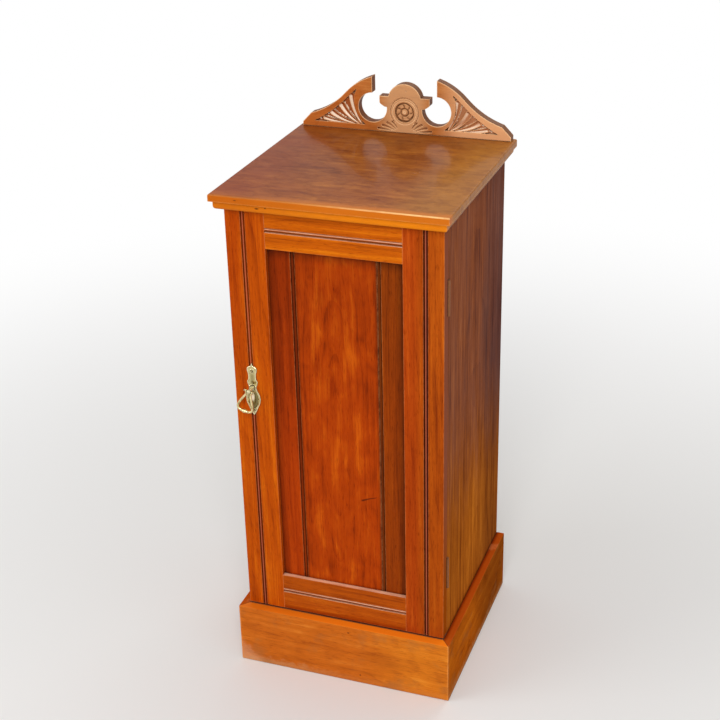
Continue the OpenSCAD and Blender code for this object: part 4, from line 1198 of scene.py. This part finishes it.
def leaf_tarnish(place, metal):
    """The domed leaf is dark olive with a painted highlight; the field round it is dull and its rim is rubbed
    pale.
    """
    x, y, z = split(place)
    aside, up = (x - POST_X) / LEAF_HALF[0], (z - (POST_Z + LEAF[1])) / LEAF_HALF[1]
    on_leaf = span(aside * aside + up * up, 1.1, 0.9)
    metal = tint(on_leaf * 0.8, metal, colour(112, 98, 54))
    # Painted highlight on the upper part of the dome
    aside, up = aside + 0.02, up - 0.30
    metal = tint(span(aside * aside + up * up * 0.7, 0.22, 0.03, 0.0, 0.9), metal, colour(246, 226, 196))
    throat = span(abs(x - POST_X), 4.6, 1.0, 0.0, 0.6) * span(z, POST_Z + 24.0, POST_Z + 17.0)
    metal = tint(throat * (1.0 - on_leaf), metal, colour(128, 112, 62))
    field_y = DOOR_FACE - PLATE_FIELD
    raised = span(y, field_y - 0.1, field_y - 0.5) * (1.0 - on_leaf)
    return tint(raised * 0.6, metal, colour(244, 232, 190))


plate_brass = old_metal(
    "plate_brass", ((206, 192, 140), (160, 144, 98), (66, 50, 22)), marks=leaf_tarnish, **HANDLE_LOOK
)
backplate = plate_mesh(
    "handle_stamped_plate", plate_loop, PLATE_GRID,
    lambda x, z, h: ((POST_X + x) / 1000, (DOOR_FACE - h) / 1000, (POST_Z + z) / 1000),
    stamped_face, PLATE_BACK, plate_brass,
)
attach(backplate, "door")
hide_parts("handle_backplate")

# Half of the drop, from its eye to the middle of its foot: across from the pin's middle, and down
DROP_SIDE = (
    (4.5, 0.0), (4.0, 2.2), (3.5, 4.6), (4.3, 8.0), (6.2, 12.4), (8.3, 17.4), (10.0, 22.0), (10.8, 26.0),
    (10.4, 29.0), (8.2, 31.2), (4.6, 32.2), (0.0, 32.4),
)
DROP_FOOT = 31.0
DROP_LEAN = math.radians(16.0)
EYE_MIDDLE = 4.5
EYE_R = 1.55
EYE_HALF_W = 0.8
EYE_HALF_T = 0.6
drop_side = flowing(DROP_SIDE, 5)
drop_path = np.vstack((drop_side, drop_side[-2::-1] * (-1, 1)))


def hung(across, inward, down):
    """A point of the drop, from millimetres about the pin to the cupboard's metres."""
    x = across * math.cos(DROP_LEAN) - down * math.sin(DROP_LEAN)
    z = -across * math.sin(DROP_LEAN) - down * math.cos(DROP_LEAN)
    return ((POST_X + x) / 1000, (BALL_Y + inward) / 1000, (POST_Z + z) / 1000)


def turns_of(count):
    """Angles of so many even steps round a circle."""
    return [2 * math.pi * i / count for i in range(count)]


def ring_faces(base, near, far, count):
    """Faces between two rings of points that start at near and far, counted from base."""
    return [
        (base + near + i, base + near + (i + 1) % count, base + far + (i + 1) % count, base + far + i)
        for i in range(count)
    ]


SIDES = 18
verts, faces = [], []
run = np.gradient(drop_path, axis=0)
run /= np.linalg.norm(run, axis=1)[:, None]
for (across, down), (along_x, along_z) in zip(drop_path, run):
    from_foot = abs(across) if down > DROP_FOOT else 99.0
    thick = 1.3 + 0.45 * eased(np.array(down), 3.0, 11.0)
    thick += 1.2 * ridge(from_foot, 2.3) + 0.3 * ridge(from_foot - 3.6, 0.5)
    for turn in turns_of(SIDES):
        aside = thick * math.cos(turn)
        verts.append(hung(across - along_z * aside, thick * math.sin(turn), down + along_x * aside))
for k in range(len(drop_path) - 1):
    faces += ring_faces(0, k * SIDES, (k + 1) * SIDES, SIDES)
faces.append(tuple(range(SIDES)))
faces.append(tuple(reversed(range(len(verts) - SIDES, len(verts)))))
# An eye at each end of the drop, round the pin
ROUND, THROUGH = 28, 12
for side in (-1, 1):
    base = len(verts)
    for turn in turns_of(ROUND):
        for lap in turns_of(THROUGH):
            reach = EYE_R + EYE_HALF_T * math.cos(lap)
            across = side * EYE_MIDDLE + EYE_HALF_W * math.sin(lap)
            verts.append(hung(across, reach * math.cos(turn), reach * math.sin(turn)))
    for i in range(ROUND):
        faces += ring_faces(base, i * THROUGH, (i + 1) % ROUND * THROUGH, THROUGH)
drop_mesh = bpy.data.meshes.new("handle_cast_drop")
drop_mesh.from_pydata(verts, [], faces)
drop_mesh.validate()
drop = placed("handle_cast_drop", drop_mesh)
drop_mesh.materials.append(
    old_metal("handle_brass", ((236, 220, 166), (180, 158, 102), (66, 50, 22)), **HANDLE_LOOK)
)
turned_out(drop_mesh)
drop_mesh.shade_smooth()
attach(drop, "bail")
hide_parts("handle_bail")

# ---------- Catch ----------
# A bent strip of spring brass, screwed under the front rail, grips a ball-ended brass peg
# driven into the back of the door.
for name in ("catch_spring", "catch_screws", "catch_peg"):
    finish_node(name, dull_brass)
